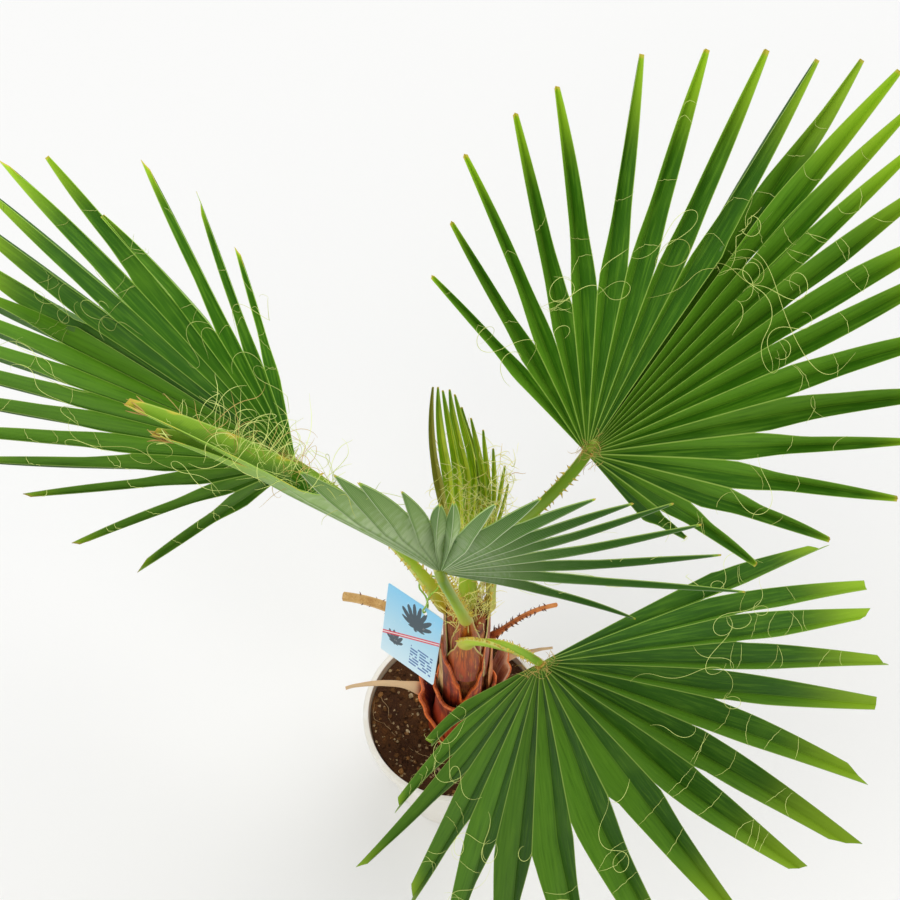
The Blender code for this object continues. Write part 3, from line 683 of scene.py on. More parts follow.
# ---- blades ----
def habits(fan, rng):
    """Small differences between the segments of one blade."""
    told = []
    for segment in range(fan.segments):
        brown = segment in fan.browned
        told.append({
            "bend": rng.uniform(-0.006, 0.006),
            "twist": rng.uniform(-0.25, 0.25),
            "brown": brown,
            "open": fan.open_up[segment] if segment < len(fan.open_up) else 0.0,
            "sag": rng.uniform(-0.4, 1.0) * 0.01,
            # A random difference, plus the fan's painted light and shade from side to side, and
            # darker browned segments.
            "tone": rng.uniform(-0.7, 0.7) + fan.between(fan.tone, segment) - 4.2 * brown,
            "dry": rng.uniform(0.015, 0.05),
            "cut": rng.choice((-1, 1)) * rng.uniform(0.015, 0.045) if rng.random() < fan.blunt
            else 0.0,
            "length": rng.uniform(0.97, 1.0) * fan.longer.get(segment, 1.0),
        })
    return told


def section(flat, fold, u):
    """Place across and above the fan of one point of the V section, with slightly domed halves."""
    return (u * flat * math.cos(fold),
            flat * (math.sin(fold) * (abs(u) - 0.5) + 0.07 * math.sin(math.pi * abs(u))))


def free_section(fan, habit, segment, share, u):
    """Point of a free segment's section: it narrows, folds to rest and twists."""
    flat, fold = fan.fold_of(segment, fan.opening(segment))
    rest = math.radians(fan.between(fan.rest, segment))
    slim = 1.0 - (1.0 - fan.between(fan.narrow, segment)) * smooth_step(share / 0.35)
    tip_half = TORN_TIP_HALF if segment in fan.torn else fan.tip_half
    flat = flat * (1.0 - share ** fan.taper) * slim + tip_half * share
    swing, lift = section(flat, fold + (rest - fold) * smooth_step(share / 0.4), u)
    turn = habit["twist"] * share + habit["open"] * smooth_step(share / 0.25)
    return (math.cos(turn) * swing - math.sin(turn) * lift + habit["bend"] * share * share,
            math.sin(turn) * swing + math.cos(turn) * lift,
            habit["sag"] * share * share, flat)


def free_place(fan, segment, share, radius):
    """Some segments lean to one side as they run out."""
    return fan.place(segment + fan.moved.get(segment, 0.0) * share, radius)


def blade_point(fan, habit, segment, u, row):
    """Middle of the sheet, its normal, and the four map values."""
    left, right = fan.splits[segment], fan.splits[segment + 1]
    start = (left + right) / 2 + u * (right - left) / 2
    if row <= JOINED_ROWS:
        radius = BLADE_START + (start - BLADE_START) * row / JOINED_ROWS
        index = segment + u / 2
        point, _, normal = fan.place(index, radius)
        flat, fold = fan.fold_of(index, radius)
        middle = point + normal * section(flat, fold, u)[1]
        along, dry = radius / fan.length, 0.0
    else:
        share = (row - JOINED_ROWS) / FREE_ROWS
        share *= 1.5 - 0.5 * share
        end = fan.reach(segment) * habit["length"] * (1.0 - habit["cut"] * u)
        radius = start + (end - start) * share
        along = (radius + 0.8 * (fan.length - end) * share ** 3) / fan.length
        point, across, normal = free_place(fan, segment, share, radius)
        swing, lift, sag, flat = free_section(fan, habit, segment, share, u)
        lift += fan.lifted.get(segment, 0.0) * share * share
        middle = point + across * swing + normal * lift - UP * sag
        dry = fan.wilt * smooth_step((share - 1.0 + habit["dry"]) / habit["dry"])
        if habit["open"]:
            patchy = 0.5 + 1.3 * wavy(radius * 75, u * 1.5, segment)
            edge = patchy * u * u * smooth_step(share * 2.5)
            dry = max(dry, 0.2 * smooth_step(share * 2.0) + 0.5 * smooth_step(share * 4 - 3.1),
                      edge)
    if habit["brown"]:
        dry = 0.6 + 0.4 * abs(wavy(radius * 60, u * 3, 2.0))
    # The sign of the first value picks which half of the segment is painted lighter and which
    # darker.
    values = (u * fan.painted_lit_half * flat * MM, (1.0 - abs(u)) * flat * MM,
              along * fan.between(fan.bloom, segment), dry)
    return middle, normal, values


def sheet_key(segment, column, row):
    """Neighbours share their points along a ridge until they part."""
    if abs(column) == HALF_COLUMNS and row <= JOINED_ROWS:
        return "ridge", segment + (column > 0), row
    return segment, column, row


def blade_skin(skin, fan, thickness, rng):
    """A thin closed sheet: joined pleats near the stalk, then one free strip to a segment."""
    told = habits(fan, rng)
    sheets, data, uses = {}, {}, {}
    for segment, habit in enumerate(told):
        for row in range(JOINED_ROWS + FREE_ROWS + 1):
            for column in range(-HALF_COLUMNS, HALF_COLUMNS + 1):
                middle, normal, data[segment, column, row] = blade_point(
                    fan, habit, segment, column / HALF_COLUMNS, row)
                key = sheet_key(segment, column, row)
                if key not in sheets:
                    shift = normal * thickness / 2
                    sheets[key] = (skin.add(middle + shift), skin.add(middle - shift))
    for segment, habit in enumerate(told):
        tone = habit["tone"]
        for row in range(JOINED_ROWS + FREE_ROWS):
            for column in range(-HALF_COLUMNS, HALF_COLUMNS):
                places = [(segment, column, row), (segment, column + 1, row),
                          (segment, column + 1, row + 1), (segment, column, row + 1)]
                if fan.turn < 0:
                    places.reverse()
                keys = [sheet_key(*place) for place in places]
                corners = [data[place] for place in places]
                skin.face([sheets[key][0] for key in keys], corners, 0, tone)
                skin.face([sheets[key][1] for key in reversed(keys)], corners[::-1], 1, tone)
                for k, after in around(4):
                    pair = (keys[k], keys[after])
                    uses.setdefault(frozenset(pair), []).append(
                        (pair, corners[k], corners[after], tone))
    for edge in uses.values():
        if len(edge) == 1:
            (a, b), first, second, tone = edge[0]
            skin.face((sheets[b][0], sheets[a][0], sheets[a][1], sheets[b][1]),
                      (second, first, first, second), 0, tone)


def hastula_skin(skin, fan, size, slot):
    """The small corky ridge where stalk and blade meet, on the upper side."""
    rings, values = [], []
    for step in range(HASTULA_RINGS + 1):
        share = step / HASTULA_RINGS
        index = (fan.segments - 1) * (0.06 + 0.88 * share)
        crest = size * (0.35 + 0.65 * math.sin(math.pi * share) ** 0.6)
        crest *= 1.0 + 0.25 * wavy(index * 1.3, fan.length * 50, 0.0)
        point, _, normal = fan.place(index, size * 2.9)
        inner, middle = (fan.place(index, size * away)[0] for away in (1.6, 2.3))
        low = normal * -0.0012
        rings.append([inner + low, inner + normal * crest * 0.6, middle + normal * crest,
                      point + normal * crest * 0.55, point + low])
        values.append([(k / 4, 0.0, share, 0.0) for k in range(5)])
    skin_loft(skin, rings, values, slot)


# ---- stalks and sheaths ----
def trunk_radius(height):
    fade = math.exp(-max(height - SOIL_TOP, 0.0) / TRUNK_TAPER)
    return TRUNK_TIP_RADIUS + (TRUNK_FOOT - GAP - TRUNK_TIP_RADIUS) * fade


def sheath_radius(stalk, height):
    """Inner radius of a sheath, which lies on the trunk or on the sheaths under it."""
    return trunk_radius(height) + (stalk.layer * (SHEATH_THICKNESS + SHEATH_GAP) + SHEATH_GAP)


def sheath_ring(stalk, share, half_angle):
    """A crescent of points round the trunk, outer side first."""
    outer, inner = [], []
    height = stalk.bottom + GAP + (stalk.top - stalk.bottom - GAP) * share
    radius = sheath_radius(stalk, height)
    centre = Vector((TRUNK_X, 0.0, height))
    for across in HALF_SECTION:
        ripple = wavy(across * 2.2, height * 45, stalk.azimuth)
        thickness = SHEATH_THICKNESS * (1.0 - 0.75 * across * across)
        frayed = wavy(across, height * 160, stalk.azimuth)
        edge = 1.0 + 0.07 * abs(across) * frayed
        outward = ray(math.radians(stalk.azimuth - across * half_angle * edge))
        inner.append(centre + outward * (radius + 0.0003 * ripple))
        outer.append(centre + outward * (radius + thickness * (1 + 0.25 * ripple)))
    return outer + inner[::-1]


def stalk_ring(place, along, upper, width, depth, hollow=0.3):
    """A section that is round below; its upper side is hollowed, or domed if hollow is below 0."""
    upper = square_to(upper, along)
    across_dir = along.cross(upper)
    lower_side, upper_side = [], []
    for across in HALF_SECTION:
        swing = math.sin(across * math.pi / 2)
        round_part = math.sqrt(max(0.0, 1.0 - swing * swing))
        sideways = across_dir * (width / 2 * swing)
        lower_side.append(place + sideways - upper * depth * (0.18 + 0.82 * round_part))
        upper_side.append(place + sideways * 0.97 - upper * depth * hollow * (1 - swing * swing))
    return lower_side + upper_side[::-1]


def stalk_path(name, share):
    """Place, direction, upper side and width along the free stalk.

    Its upper side turns from the trunk's side to the blade's upper side.
    """
    stalk, fan = STALKS[name], FANS.get(name)
    outward = ray(math.radians(stalk.azimuth))
    start = Vector((TRUNK_X, 0, stalk.top)) + outward * sheath_radius(stalk, stalk.top)
    end = Vector(stalk.end or fan.hastula)
    curve = handles(start, stalk.leave, end, stalk.arrive or fan.axis, stalk.reach)
    place, along = bezier(curve, share)
    first, middle, last = stalk.width
    middle, last = middle * stalk.slim, last * stalk.slim
    if share < NECK:
        width = first + (middle - first) * smooth_step(share / NECK)
    else:
        width = middle + (last - middle) * (share - NECK) / (1.0 - NECK)
    goal = fan.normal if fan else UP
    upper = -outward * (1 - smooth_step(share)) + goal * smooth_step(share)
    return place, along, square_to(upper, along), width


def stalk_skin(skin, name):
    """Sheath, stalk and, on a living leaf, the knob that carries the blade."""
    stalk = STALKS[name]
    top_radius = sheath_radius(stalk, stalk.top)
    top_angle = math.degrees(math.asin(stalk.width[0] / 2 / top_radius))
    rings, marks = [], []
    for ring in range(SHEATH_RINGS + 1):
        share = ring / SHEATH_RINGS
        narrow = smooth_step((share - NECK) / (1.0 - NECK))
        half_angle = stalk.half_span + (top_angle - stalk.half_span) * narrow
        rings.append(sheath_ring(stalk, share, half_angle))
        marks.append((share - 1.0, math.radians(half_angle) * top_radius))
    for step in range(1, STALK_RINGS + 1):
        share = (step / STALK_RINGS) ** 1.15
        place, along, upper, width = stalk_path(name, share)
        width *= 1.0 + 0.03 * wavy(share * 9, stalk.azimuth, 0)
        rings.append(stalk_ring(place, along, upper, width, stalk.depth))
        marks.append((share, width / 2))
    place, along, upper, width = stalk_path(name, 1.0)
    if name in FANS:
        for ahead, scale, lift in KNOB_STEPS:
            centre = place + along * ahead + upper * stalk.depth * lift
            rings.append(stalk_ring(centre, along, upper, width * scale, stalk.depth * scale,
                                    KNOB_DOME))
            marks.append((1.0 + ahead * 4, width / 2 * scale))
    else:
        for ahead, scale in STUB_STEPS:
            torn = 0.0012 * wavy(stalk.azimuth, ahead * 900, 1.0)
            centre = place + along * (ahead + torn * 0.3)
            rings.append(stalk_ring(centre, along, upper, width * scale, stalk.depth * scale))
            marks.append((1.0, width / 2 * scale))
    skin_loft(skin, rings, [[(across, (1.0 - abs(across)) * half * MM, share, 0.0)
                             for across in SECTION] for share, half in marks])


def petal_point(petal, across, share, inset):
    """Point of a torn base: share goes from its foot to its rim, inset from outside to inside."""
    fray = wavy(across * 3.0, petal.azimuth, 0.0)
    fine = wavy(across * 30.0, petal.azimuth, 5.0)
    rim, flare = petal.rim_at(across)
    rim += 0.0018 * fray + 0.0011 * fine
    height = petal.bottom + GAP + (rim - petal.bottom - GAP) * share
    bead = 1.0 + 0.6 * smooth_step((share - 0.88) / 0.12)
    ripple = 0.0007 * wavy(across * 5.0, height * 60.0, petal.azimuth)
    radius = trunk_radius(height) + petal.clear * smooth_step(share / 0.3) + ripple
    radius += flare * share ** 2.4 * (1.0 + 0.25 * fray)
    radius += petal.thickness * bead * (1.0 - inset) * (1.0 - 0.6 * abs(across) ** 6)
    return around_trunk(radius, math.radians(petal.azimuth + across * petal.half_span), height)


def petal_skin(skin, petal):
    """A thin curved wall with a torn, thickened rim, and the strap that is left of its stalk."""
    up = [(row / PETAL_ROWS, 0.0) for row in range(PETAL_ROWS + 1)]
    steps = up + [(1.008, 0.5)] + [(share, 1.0) for share, _ in reversed(up)]
    rings, values = [], []
    for column in range(PETAL_COLUMNS + 1):
        across = 2.0 * column / PETAL_COLUMNS - 1.0
        beside = (petal_point(petal, across + 0.02, 1.0, 0.5)
                  - petal_point(petal, across - 0.02, 1.0, 0.5))
        slant = math.hypot(beside.x, beside.y) / max(beside.length, 1e-6)
        rims = {inset: petal_point(petal, across, 1.0, inset) for inset in (0.0, 0.5, 1.0)}
        ring = [petal_point(petal, across, *step) for step in steps]
        rings.append(ring)
        values.append([(across * 3.0, (rims[inset] - point).length * slant * MM, share - 1.0, 0.0)
                       for point, (share, inset) in zip(ring, steps)])
    skin_loft(skin, rings, values, slot_of=lambda k: int(k > PETAL_ROWS))
    if not petal.strap_end:
        return
    curve = handles(petal_point(petal, petal.strap_from, 0.93, 0.5), petal.strap_leave,
                    Vector(petal.strap_end), petal.strap_arrive, STRAP_REACH)
    first, middle, last = petal.strap_width
    rings, values = [], []
    for step in range(STRAP_RINGS + 1):
        share = step / STRAP_RINGS
        place, along = bezier(curve, share)
        width = first + (middle - first) * smooth_step(share / NECK)
        width += (last - middle) * smooth_step((share - NECK) / (1.0 - NECK))
        wave = 0.0012 * wavy(share * 6, petal.azimuth, 3.0)
        rings.append(stalk_ring(place + UP * wave, along, UP, width, width * 0.34))
        values.append([(x * 3.0, (1.0 - abs(x)) * width * (MM / 2), share, 0.0) for x in SECTION])
    skin_loft(skin, rings, values)


def spines_skin(skin, name, rng, length, slot):
    """Curved spines along both margins of a stalk, larger toward the trunk."""
    stalk = STALKS[name]
    for side in (-1, 1):
        for number in range(stalk.spines):
            share = 0.06 + 0.86 * (number + rng.uniform(0.1, 0.9)) / stalk.spines
            place, along, upper, width = stalk_path(name, share)
            outward = along.cross(upper) * side
            root = place + outward * width * 0.46 - upper * stalk.depth * 0.2
            lean = (outward + upper * rng.uniform(0.0, 0.5)).normalized()
            size = length * stalk.spine_size * (1.15 - 0.5 * share) * rng.uniform(0.7, 1.15)
            forward = along * rng.choice((1, 1, 1, -1))
            points = [root + lean * size * (s - 0.12) + forward * size * 0.55 * s * s
                      for s in (0.0, 0.25, 0.5, 0.75, 1.0)]
            skin_tube(skin, points, [size * r for r in (0.34, 0.25, 0.16, 0.08, 0.01)], 6, slot)


# ---- threads ----
def over_fan(fan, index, radius, height):
    """Point that lies on the ridges of the fan, plus a height."""
    index = min(max(index, -0.9), fan.segments - 0.1)
    point, _, normal = fan.place(index, radius)
    flat, fold = fan.fold_of(index, min(radius, fan.length * 0.5))
    return point + normal * (flat * math.sin(fold) * 0.5 + height)


def curl(fan, rng, edge, radius, length):
    """A long thread that curls over the blade from the place where two segments part."""
    heading = rng.uniform(-1.0, 1.0)
    side, height = 0.0, THREAD_LIFT
    bend = rng.choice((-1, 1)) * rng.uniform(60, 150)
    swing = rng.uniform(0.01, 0.03)
    phase = rng.uniform(0, math.tau)
    climb = rng.uniform(0.05, 0.3)
    limit = fan.reach(edge) * 0.98
    points = []
    for k in range(max(int(length / CURL_STEP), 6)):
        index = edge - 0.5 + side / (2 * fan.half_width(edge - 0.5, radius))
        points.append(over_fan(fan, index, radius, height))
        heading += CURL_STEP * bend * (0.35 + math.sin(phase + k * CURL_STEP / swing))
        radius = min(max(radius + math.cos(heading) * CURL_STEP, 0.05), limit)
        side += math.sin(heading) * CURL_STEP
        height = max(THREAD_LIFT, height + CURL_STEP * climb * math.sin(
            phase * 2 + k * CURL_STEP / 0.021))
    return points


def wrap(fan, rng, segment, radius, habit):
    """A short thread that lies across one free segment and tucks in under its edges."""
    slant = rng.uniform(-0.9, 0.9)
    bow = rng.uniform(-0.005, 0.005)
    start, end = fan.opening(segment), fan.reach(segment)
    points = []
    for k in range(13):
        u = -1.12 + 2.24 * k / 12
        away = min(radius + (slant * u + 0.2 * u * u) * 0.006 + bow * (1 - u * u), end * 0.97)
        share = min(max((away - start) / (end - start), 0.0), 1.0)
        point, across, normal = free_place(fan, segment, share, away)
        swing, lift, sag, flat = free_section(fan, habit, segment, share, u)
        loose = 0.25 * flat * max(1.0 - u * u * 4, 0.0) - 1.2 * flat * max(abs(u) - 1.0, 0.0)
        points.append(point + across * swing + normal * (lift + THREAD_LIFT + loose) - UP * sag)
    return points


def scatter(rng, spread):
    return Vector((rng.gauss(0, spread), rng.gauss(0, spread), rng.gauss(0, spread)))


def flying_line(rng, place, heading, length, curl_rate):
    """The line of a loose strand that leaves the plant and curls in the air."""
    turn = scatter(rng, 1).normalized()
    heading = heading.normalized()
    points = []
    for k in range(max(int(length / STRAND_STEP), 5)):
        points.append(place.copy())
        turn = (turn + scatter(rng, 0.3)).normalized()
        grow = 0.4 + 1.2 * k * STRAND_STEP / length
        heading = (heading + heading.cross(turn) * curl_rate * STRAND_STEP * grow).normalized()
        place = place + heading * STRAND_STEP
    return points


def strand(skin, rng, line, radius, slot, sides=4):
    """A thread along a line, which thins out to both ends and has a tone of its own."""
    count = len(line)
    radii = [radius * min(1.0, 0.35 + 2.5 * min(k, count - 1 - k) / count) for k in range(count)]
    skin_tube(skin, line, radii, sides, slot, rng.uniform(0, 1))


def fringe(skin, fan, rng, count, radius):
    """A fringe of curly strands along the free edges of the first segments."""
    for _ in range(count):
        segment = rng.choice((0, 1, 1, 1, 2))
        share = rng.triangular(0.0, 0.9, 0.4)
        start = fan.opening(segment)
        away = start + (fan.reach(segment) - start) * share
        place, across, normal = free_place(fan, segment, share, away)
        place = place + normal * rng.uniform(-0.003, 0.004) + across * rng.uniform(-0.003, 0.004)
        out = Vector((rng.gauss(0.0, 0.6), 0.45 + rng.gauss(0.0, 0.4), 0.6))
        line = flying_line(rng, place, out, rng.uniform(0.014, 0.06), rng.uniform(30, 150))
        strand(skin, rng, line, radius, int(rng.random() < 0.25))


def frayed_end(skin, fan, habit, rng, segment, count):
    """Split fibres that stand out of the end of a torn segment."""
    end = fan.reach(segment) * habit["length"]
    ahead, _, _ = free_place(fan, segment, 1.0, end)
    for _ in range(count):
        swing, lift, sag, _ = free_section(fan, habit, segment, 0.97, rng.uniform(-1.0, 1.0))
        place, across, normal = free_place(fan, segment, 0.97, end * 0.955)
        lift += fan.lifted.get(segment, 0.0) * 0.94
        heading = (ahead - place).normalized() + across * rng.gauss(0, 0.16)
        place = place + across * swing + normal * lift - UP * sag
        line = flying_line(rng, place, heading + normal * rng.gauss(0, 0.16),
                           rng.uniform(0.012, 0.021), rng.uniform(5, 40))
        strand(skin, rng, line, rng.uniform(0.0003, 0.0006), rng.choice((0, 1, 1)))


def tangle(skin, fan, rng, count, radius):
    """Short torn fibres round the place where stalk and blade meet."""
    for _ in range(count):
        place, across, normal = fan.place(rng.uniform(0, fan.segments - 1),
                                          rng.uniform(0.004, 0.016))
        heading = normal * rng.uniform(0.4, 1.0) + across * rng.gauss(0, 0.6)
        heading += fan.axis * rng.gauss(0, 0.8)
        line = flying_line(rng, place, heading, rng.uniform(0.006, 0.022), rng.uniform(60, 260))
        strand(skin, rng, line, radius, 1)


def blade_threads(fan, leaf, seed):
    """Threads at the splits and across the segments of one blade."""
    rng = random.Random(seed)
    told = habits(fan, random.Random(fan.segments * 7))
    skin = Skin()
    if fan.open_up:
        fringe(skin, fan, rng, leaf.fringe, leaf.thread_radius)
        for segment in fan.torn:
            frayed_end(skin, fan, told[segment], rng, segment, 12)
    else:
        tangle(skin, fan, rng, leaf.tangle, leaf.thread_radius)
    for _ in range(leaf.threads):
        edge = rng.randrange(1, fan.segments)
        radius = fan.splits[edge] * rng.uniform(0.97, 1.15)
        line = curl(fan, rng, edge, radius, rng.choice((0.03, 0.05, 0.08, 0.12)))
        strand(skin, rng, line, leaf.thread_radius, 0)
    for _ in range(leaf.wraps):
        segment = rng.randrange(fan.segments)
        start = fan.opening(segment)
        radius = start + (fan.reach(segment) - start) * rng.uniform(0.02, 0.85)
        line = wrap(fan, rng, segment, radius, told[segment])
        strand(skin, rng, line, leaf.thread_radius * 0.8, 0)
    return skin


# ---- materials ----
VEIN_TURN = 7.0        # radians a millimetre across a leaf, so its veins lie 0.9 mm apart
PRINTED_LEAVES = ((0.56, 0.62, 0.33, 8.5, 0.4), (0.23, 0.22, 0.19, 6.5, 1.2))


def add(tree, kind, *values, ramp=(), out=0, **named):
    """Add a node, set or link its inputs, and give back one of its outputs.

    Values go to its inputs in turn, and a name with a capital to the input of that name.  Other
    names are settings of the node, and a second word in the kind is its operation.
    """
    kind, _, operation = kind.partition(" ")
    new = tree.nodes.new("ShaderNode" + kind)
    if operation:
        new.operation = operation
    inputs = dict(enumerate(values))
    for key, value in named.items():
        if key[0].isupper():
            inputs[key] = value
        else:
            setattr(new, key, value)
    for key, value in inputs.items():
        if isinstance(value, bpy.types.NodeSocket):
            tree.links.new(value, new.inputs[key])
        elif value is not None:
            new.inputs[key].default_value = value
    if ramp:
        first, last = new.color_ramp.elements
        first.position, first.color = ramp[0][0], linear(ramp[0][1])
        last.position, last.color = ramp[-1][0], linear(ramp[-1][1])
        for place, colour in ramp[1:-1]:
            new.color_ramp.elements.new(place).color = linear(colour)
    return new.outputs[out]


def shaded(name, roughness, ior, specular):
    """A new material with its shader's steady values, and what adds a node to it."""
    material = bpy.data.materials.new(name)
    material.use_nodes = True
    sockets = material.node_tree.nodes["Principled BSDF"].inputs
    for key, value in (("Roughness", roughness), ("IOR", ior), ("Specular IOR Level", specular)):
        sockets[key].default_value = value
    return material, partial(add, material.node_tree)


def dressed(material, colour, bump=(), gloss=()):
    """Link the colour, a bump (pattern, depth, strength) and a roughness (pattern, low, high)."""
    tree = material.node_tree
    sockets = tree.nodes["Principled BSDF"].inputs
    tree.links.new(colour, sockets["Base Color"])
    if bump:
        pattern, depth, strength = bump
        tree.links.new(add(tree, "Bump", Strength=strength, Distance=depth, Height=pattern),
                       sockets["Normal"])
    if gloss:
        pattern, low, high = gloss
        tree.links.new(add(tree, "MapRange", pattern, 0.0, 1.0, low, high), sockets["Roughness"])
    return material


def map_values(node):
    """The four values of the piece's maps, its object coordinates and its tone."""
    across, along = (node("SeparateXYZ", node("UVMap", uv_map=title)).node.outputs
                     for title in ("Across", "Along"))
    place = node("TexCoord", out="Object")
    tone = node("Attribute", attribute_name="Tone", out="Fac")
    return across[0], across[1], along[0], along[1], place, tone


def layered(node, colour, layers):
    """Lay paints over a colour; each shows as its pattern's value goes from low to high."""
    for pattern, low, high, strength, paint in layers:
        shown = node("MapRange", pattern, low, high, 0.0, strength,
                     interpolation_type="SMOOTHSTEP")
        # A mix has its two colours as its inputs 6 and 7.
        colour = node("Mix", shown, *[None] * 5, colour, linear(paint), data_type="RGBA", out=2)
    return colour


def toned(node, colour, tone, spread):
    """Make a colour lighter or darker with the tone, which runs from about -2 to 2."""
    return node("HueSaturation", Color=colour, Value=node("Math MULTIPLY_ADD", tone, spread, 1.0))


def drawn_out(node, pattern, stretch, detail=3.0, roughness=0.5):
    """Noise that is stretched by its own amount each way; three values can stand for a place."""
    if isinstance(pattern, tuple):
        pattern = node("CombineXYZ", *pattern)
    return node("TexNoise", node("VectorMath MULTIPLY", pattern, stretch),
                Scale=1.0, Detail=detail, Roughness=roughness)


def blade_values(node):
    """The map values, the distance from the midrib and the veins of a blade."""
    values = map_values(node)
    from_rib = node("Math ABSOLUTE", values[0])
    vein = node("Math SINE", node("Math MULTIPLY", from_rib, VEIN_TURN))
    return *values, from_rib, vein


def blade_upper(name, leaf, near, middle, far, tip):
    """Living palm leaf, upper side: smooth cuticle under thin wax.

    The eye sees a satin sheen, fine veins that run to the tip, pale ridges where segments meet,
    and tips that turn yellow.
    """
    material, node = shaded(name, 0.4, 1.45, 0.2)
    signed, from_margin, share, dry, place, tone, from_rib, vein = blade_values(node)
    base = node("ValToRGB", share, ramp=((0.0, near), (0.35, middle), (0.8, middle), (1.0, far)))
    streak = drawn_out(node, (signed, share, tone), (0.55, 9.0, 31.0))
    patch = node("TexNoise", place, Scale=22.0, Detail=2.0)
    colour = layered(node, base, (
        (dry, 0.02, 0.3, 0.75, "#9DB930"),
        # Painted light and shade: one half of each folded segment is painted darker and the other
        # lighter, for the light across the fold.
        (signed, 0.15, -0.15, 0.44, far),
        (signed, -0.15, 0.15, 0.52, near),
        (streak, 0.45, 0.75, 0.4, far),
        (streak, 0.5, 0.2, 0.4, near),
        (patch, 0.5, 0.8, 0.3, far),
        (vein, 0.2, 1.0, 0.12, far),
        (from_rib, 0.75, 0.25, 0.5, far),
        (from_rib, 1.5, 0.8, 0.22, near),
        (share, 0.72, 1.0, 0.66, tip),
        (from_margin, 0.75, 0.3, 0.8, leaf.ridge),
        (dry, 0.35, 0.75, 0.75, "#CDBE4C"),
        (dry, 0.85, 1.0, 0.6, leaf.dry)))
    return dressed(material, toned(node, colour, tone, 0.13), (vein, 0.00012, 0.35),
                   (streak, 0.34, 0.5))


def blade_under(name, leaf, near, middle, far):
    """Living palm leaf, under side: cuticle with a waxy bloom.

    The eye sees a matt grey green, pale ribs, and faint bands across the segments from when
    the leaf was folded in the bud.
    """
    material, node = shaded(name, 0.6, 1.45, 0.08)
    signed, from_margin, share, dry, _, tone, from_rib, vein = blade_values(node)
    bands = drawn_out(node, (from_rib, share, tone), (0.1, 54.0, 0.15), 2.0)
    streak = drawn_out(node, (signed, share, tone), (0.6, 8.0, 23.0))
    base = node("ValToRGB", share, ramp=((0.0, near), (0.32, near), (0.62, middle), (1.0, far)))
    joined = node("MapRange", share, 0.62, 0.3)
    colour = layered(node, base, (
        (node("Math MULTIPLY", bands, joined), 0.28, 0.62, 0.62, "#D6E2C2"),
        (streak, 0.5, 0.8, 0.22, near),
        # Painted shade: one half of each folded segment is painted darker, for the shade across
        # the fold.
        (signed, -0.15, 0.15, 0.62, far),
        (from_rib, 2.2, 0.8, 0.56, middle),
        (vein, 0.2, 1.0, 0.24, leaf.under_rib),
        (from_rib, 0.7, 0.3, 0.75, leaf.under_rib),
        (from_margin, 2.0, 0.9, 0.3, middle),
        (from_margin, 0.7, 0.3, 0.72, "#C8DA9C"),
        (share, 0.55, 1.0, 0.6, far),
        (dry, 0.04, 0.28, 0.72, "#97BC3A"),
        (dry, 0.5, 0.8, 0.75, "#CDBE4C"),
        (dry, 0.85, 1.0, 0.6, leaf.dry)))
    return dressed(material, toned(node, colour, tone, 0.13), (vein, 0.00012, 0.3),
                   (streak, 0.54, 0.68))


def stalk_living(leaf, base):
    """Living palm stalk: smooth ribbed rind, dried and fibrous where it sheathes the trunk.

    The eye sees a satin yellow green with paler margins, which goes over orange to mahogany
    at the sheath.
    """
    material, node = shaded("Palm stalk, living rind", 0.42, 1.45, 0.35)
    across, from_margin, share, _, place, tone = map_values(node)
    fibre = drawn_out(node, (across, share, tone), (11.0, 3.0, 7.0))
    warped = node("Math MULTIPLY_ADD", fibre, 0.1, share)
    ground = node("ValToRGB", node("MapRange", warped, -1.0, 1.05), ramp=(
        (0.0, base.mahogany), (0.3, "#C25A1C"), (0.46, "#CC7222"), (0.54, "#C4C43C"),
        (0.66, leaf.stalk), (0.985, "#78A024"), (1.0, "#8FA834")))
    torn = node("Math MULTIPLY", drawn_out(node, place, (380.0, 380.0, 20.0), 4.0, 0.65),
                node("MapRange", share, 0.03, -0.08))
    colour = layered(node, ground, (
        (torn, 0.4, 0.56, 0.7, "#6A2410"),
        (torn, 0.58, 0.68, 0.7, "#E8923C"),
        (fibre, 0.55, 0.8, 0.35, "#C2CC60"),
        (fibre, 0.45, 0.2, 0.3, "#557A18"),
        (from_margin, 1.7, 0.5, 0.75, leaf.stalk_edge)))
    return dressed(material, colour, (fibre, 0.0003, 0.5), (fibre, 0.34, 0.52))


def horn(name, tip, root):
    """Palm spine: hard horny tissue, grown to a point, which looks waxy and darkens to its tip."""
    material, node = shaded(name, 0.35, 1.5, 0.4)
    _, _, share, _, place, _ = map_values(node)
    ground = node("ValToRGB", share, ramp=((0.0, root), (0.55, root), (1.0, tip)))
    grain = node("TexNoise", place, Scale=900.0, Detail=2.0)
    return dressed(material, layered(node, ground, ((grain, 0.5, 0.8, 0.3, tip),)),
                   (grain, 0.0001, 0.3))


def dried_base(name, light, middle, dark, gloss):
    """Dead palm leaf base: lignified fibres, split and weathered.

    The eye sees long fibres 0.5 to 1.5 mm wide, torn margins that are paler, and a dull sheen.
    """
    material, node = shaded(name, gloss, 1.5, 0.35)
    _, from_margin, _, _, place, _ = map_values(node)
    fibre = drawn_out(node, place, (900.0, 900.0, 55.0), 4.0, 0.6)
    patch = node("TexNoise", place, Scale=60.0, Detail=3.0)
    ground = node("ValToRGB", patch, ramp=((0.3, dark), (0.5, middle), (0.72, light)))
    colour = layered(node, ground, (
        (fibre, 0.52, 0.7, 0.45, light),
        (fibre, 0.48, 0.3, 0.6, dark),
        (from_margin, 2.6, 0.4, 0.75, light)))
    return dressed(material, colour, (fibre, 0.0006, 0.7), (fibre, gloss + 0.12, gloss - 0.08))


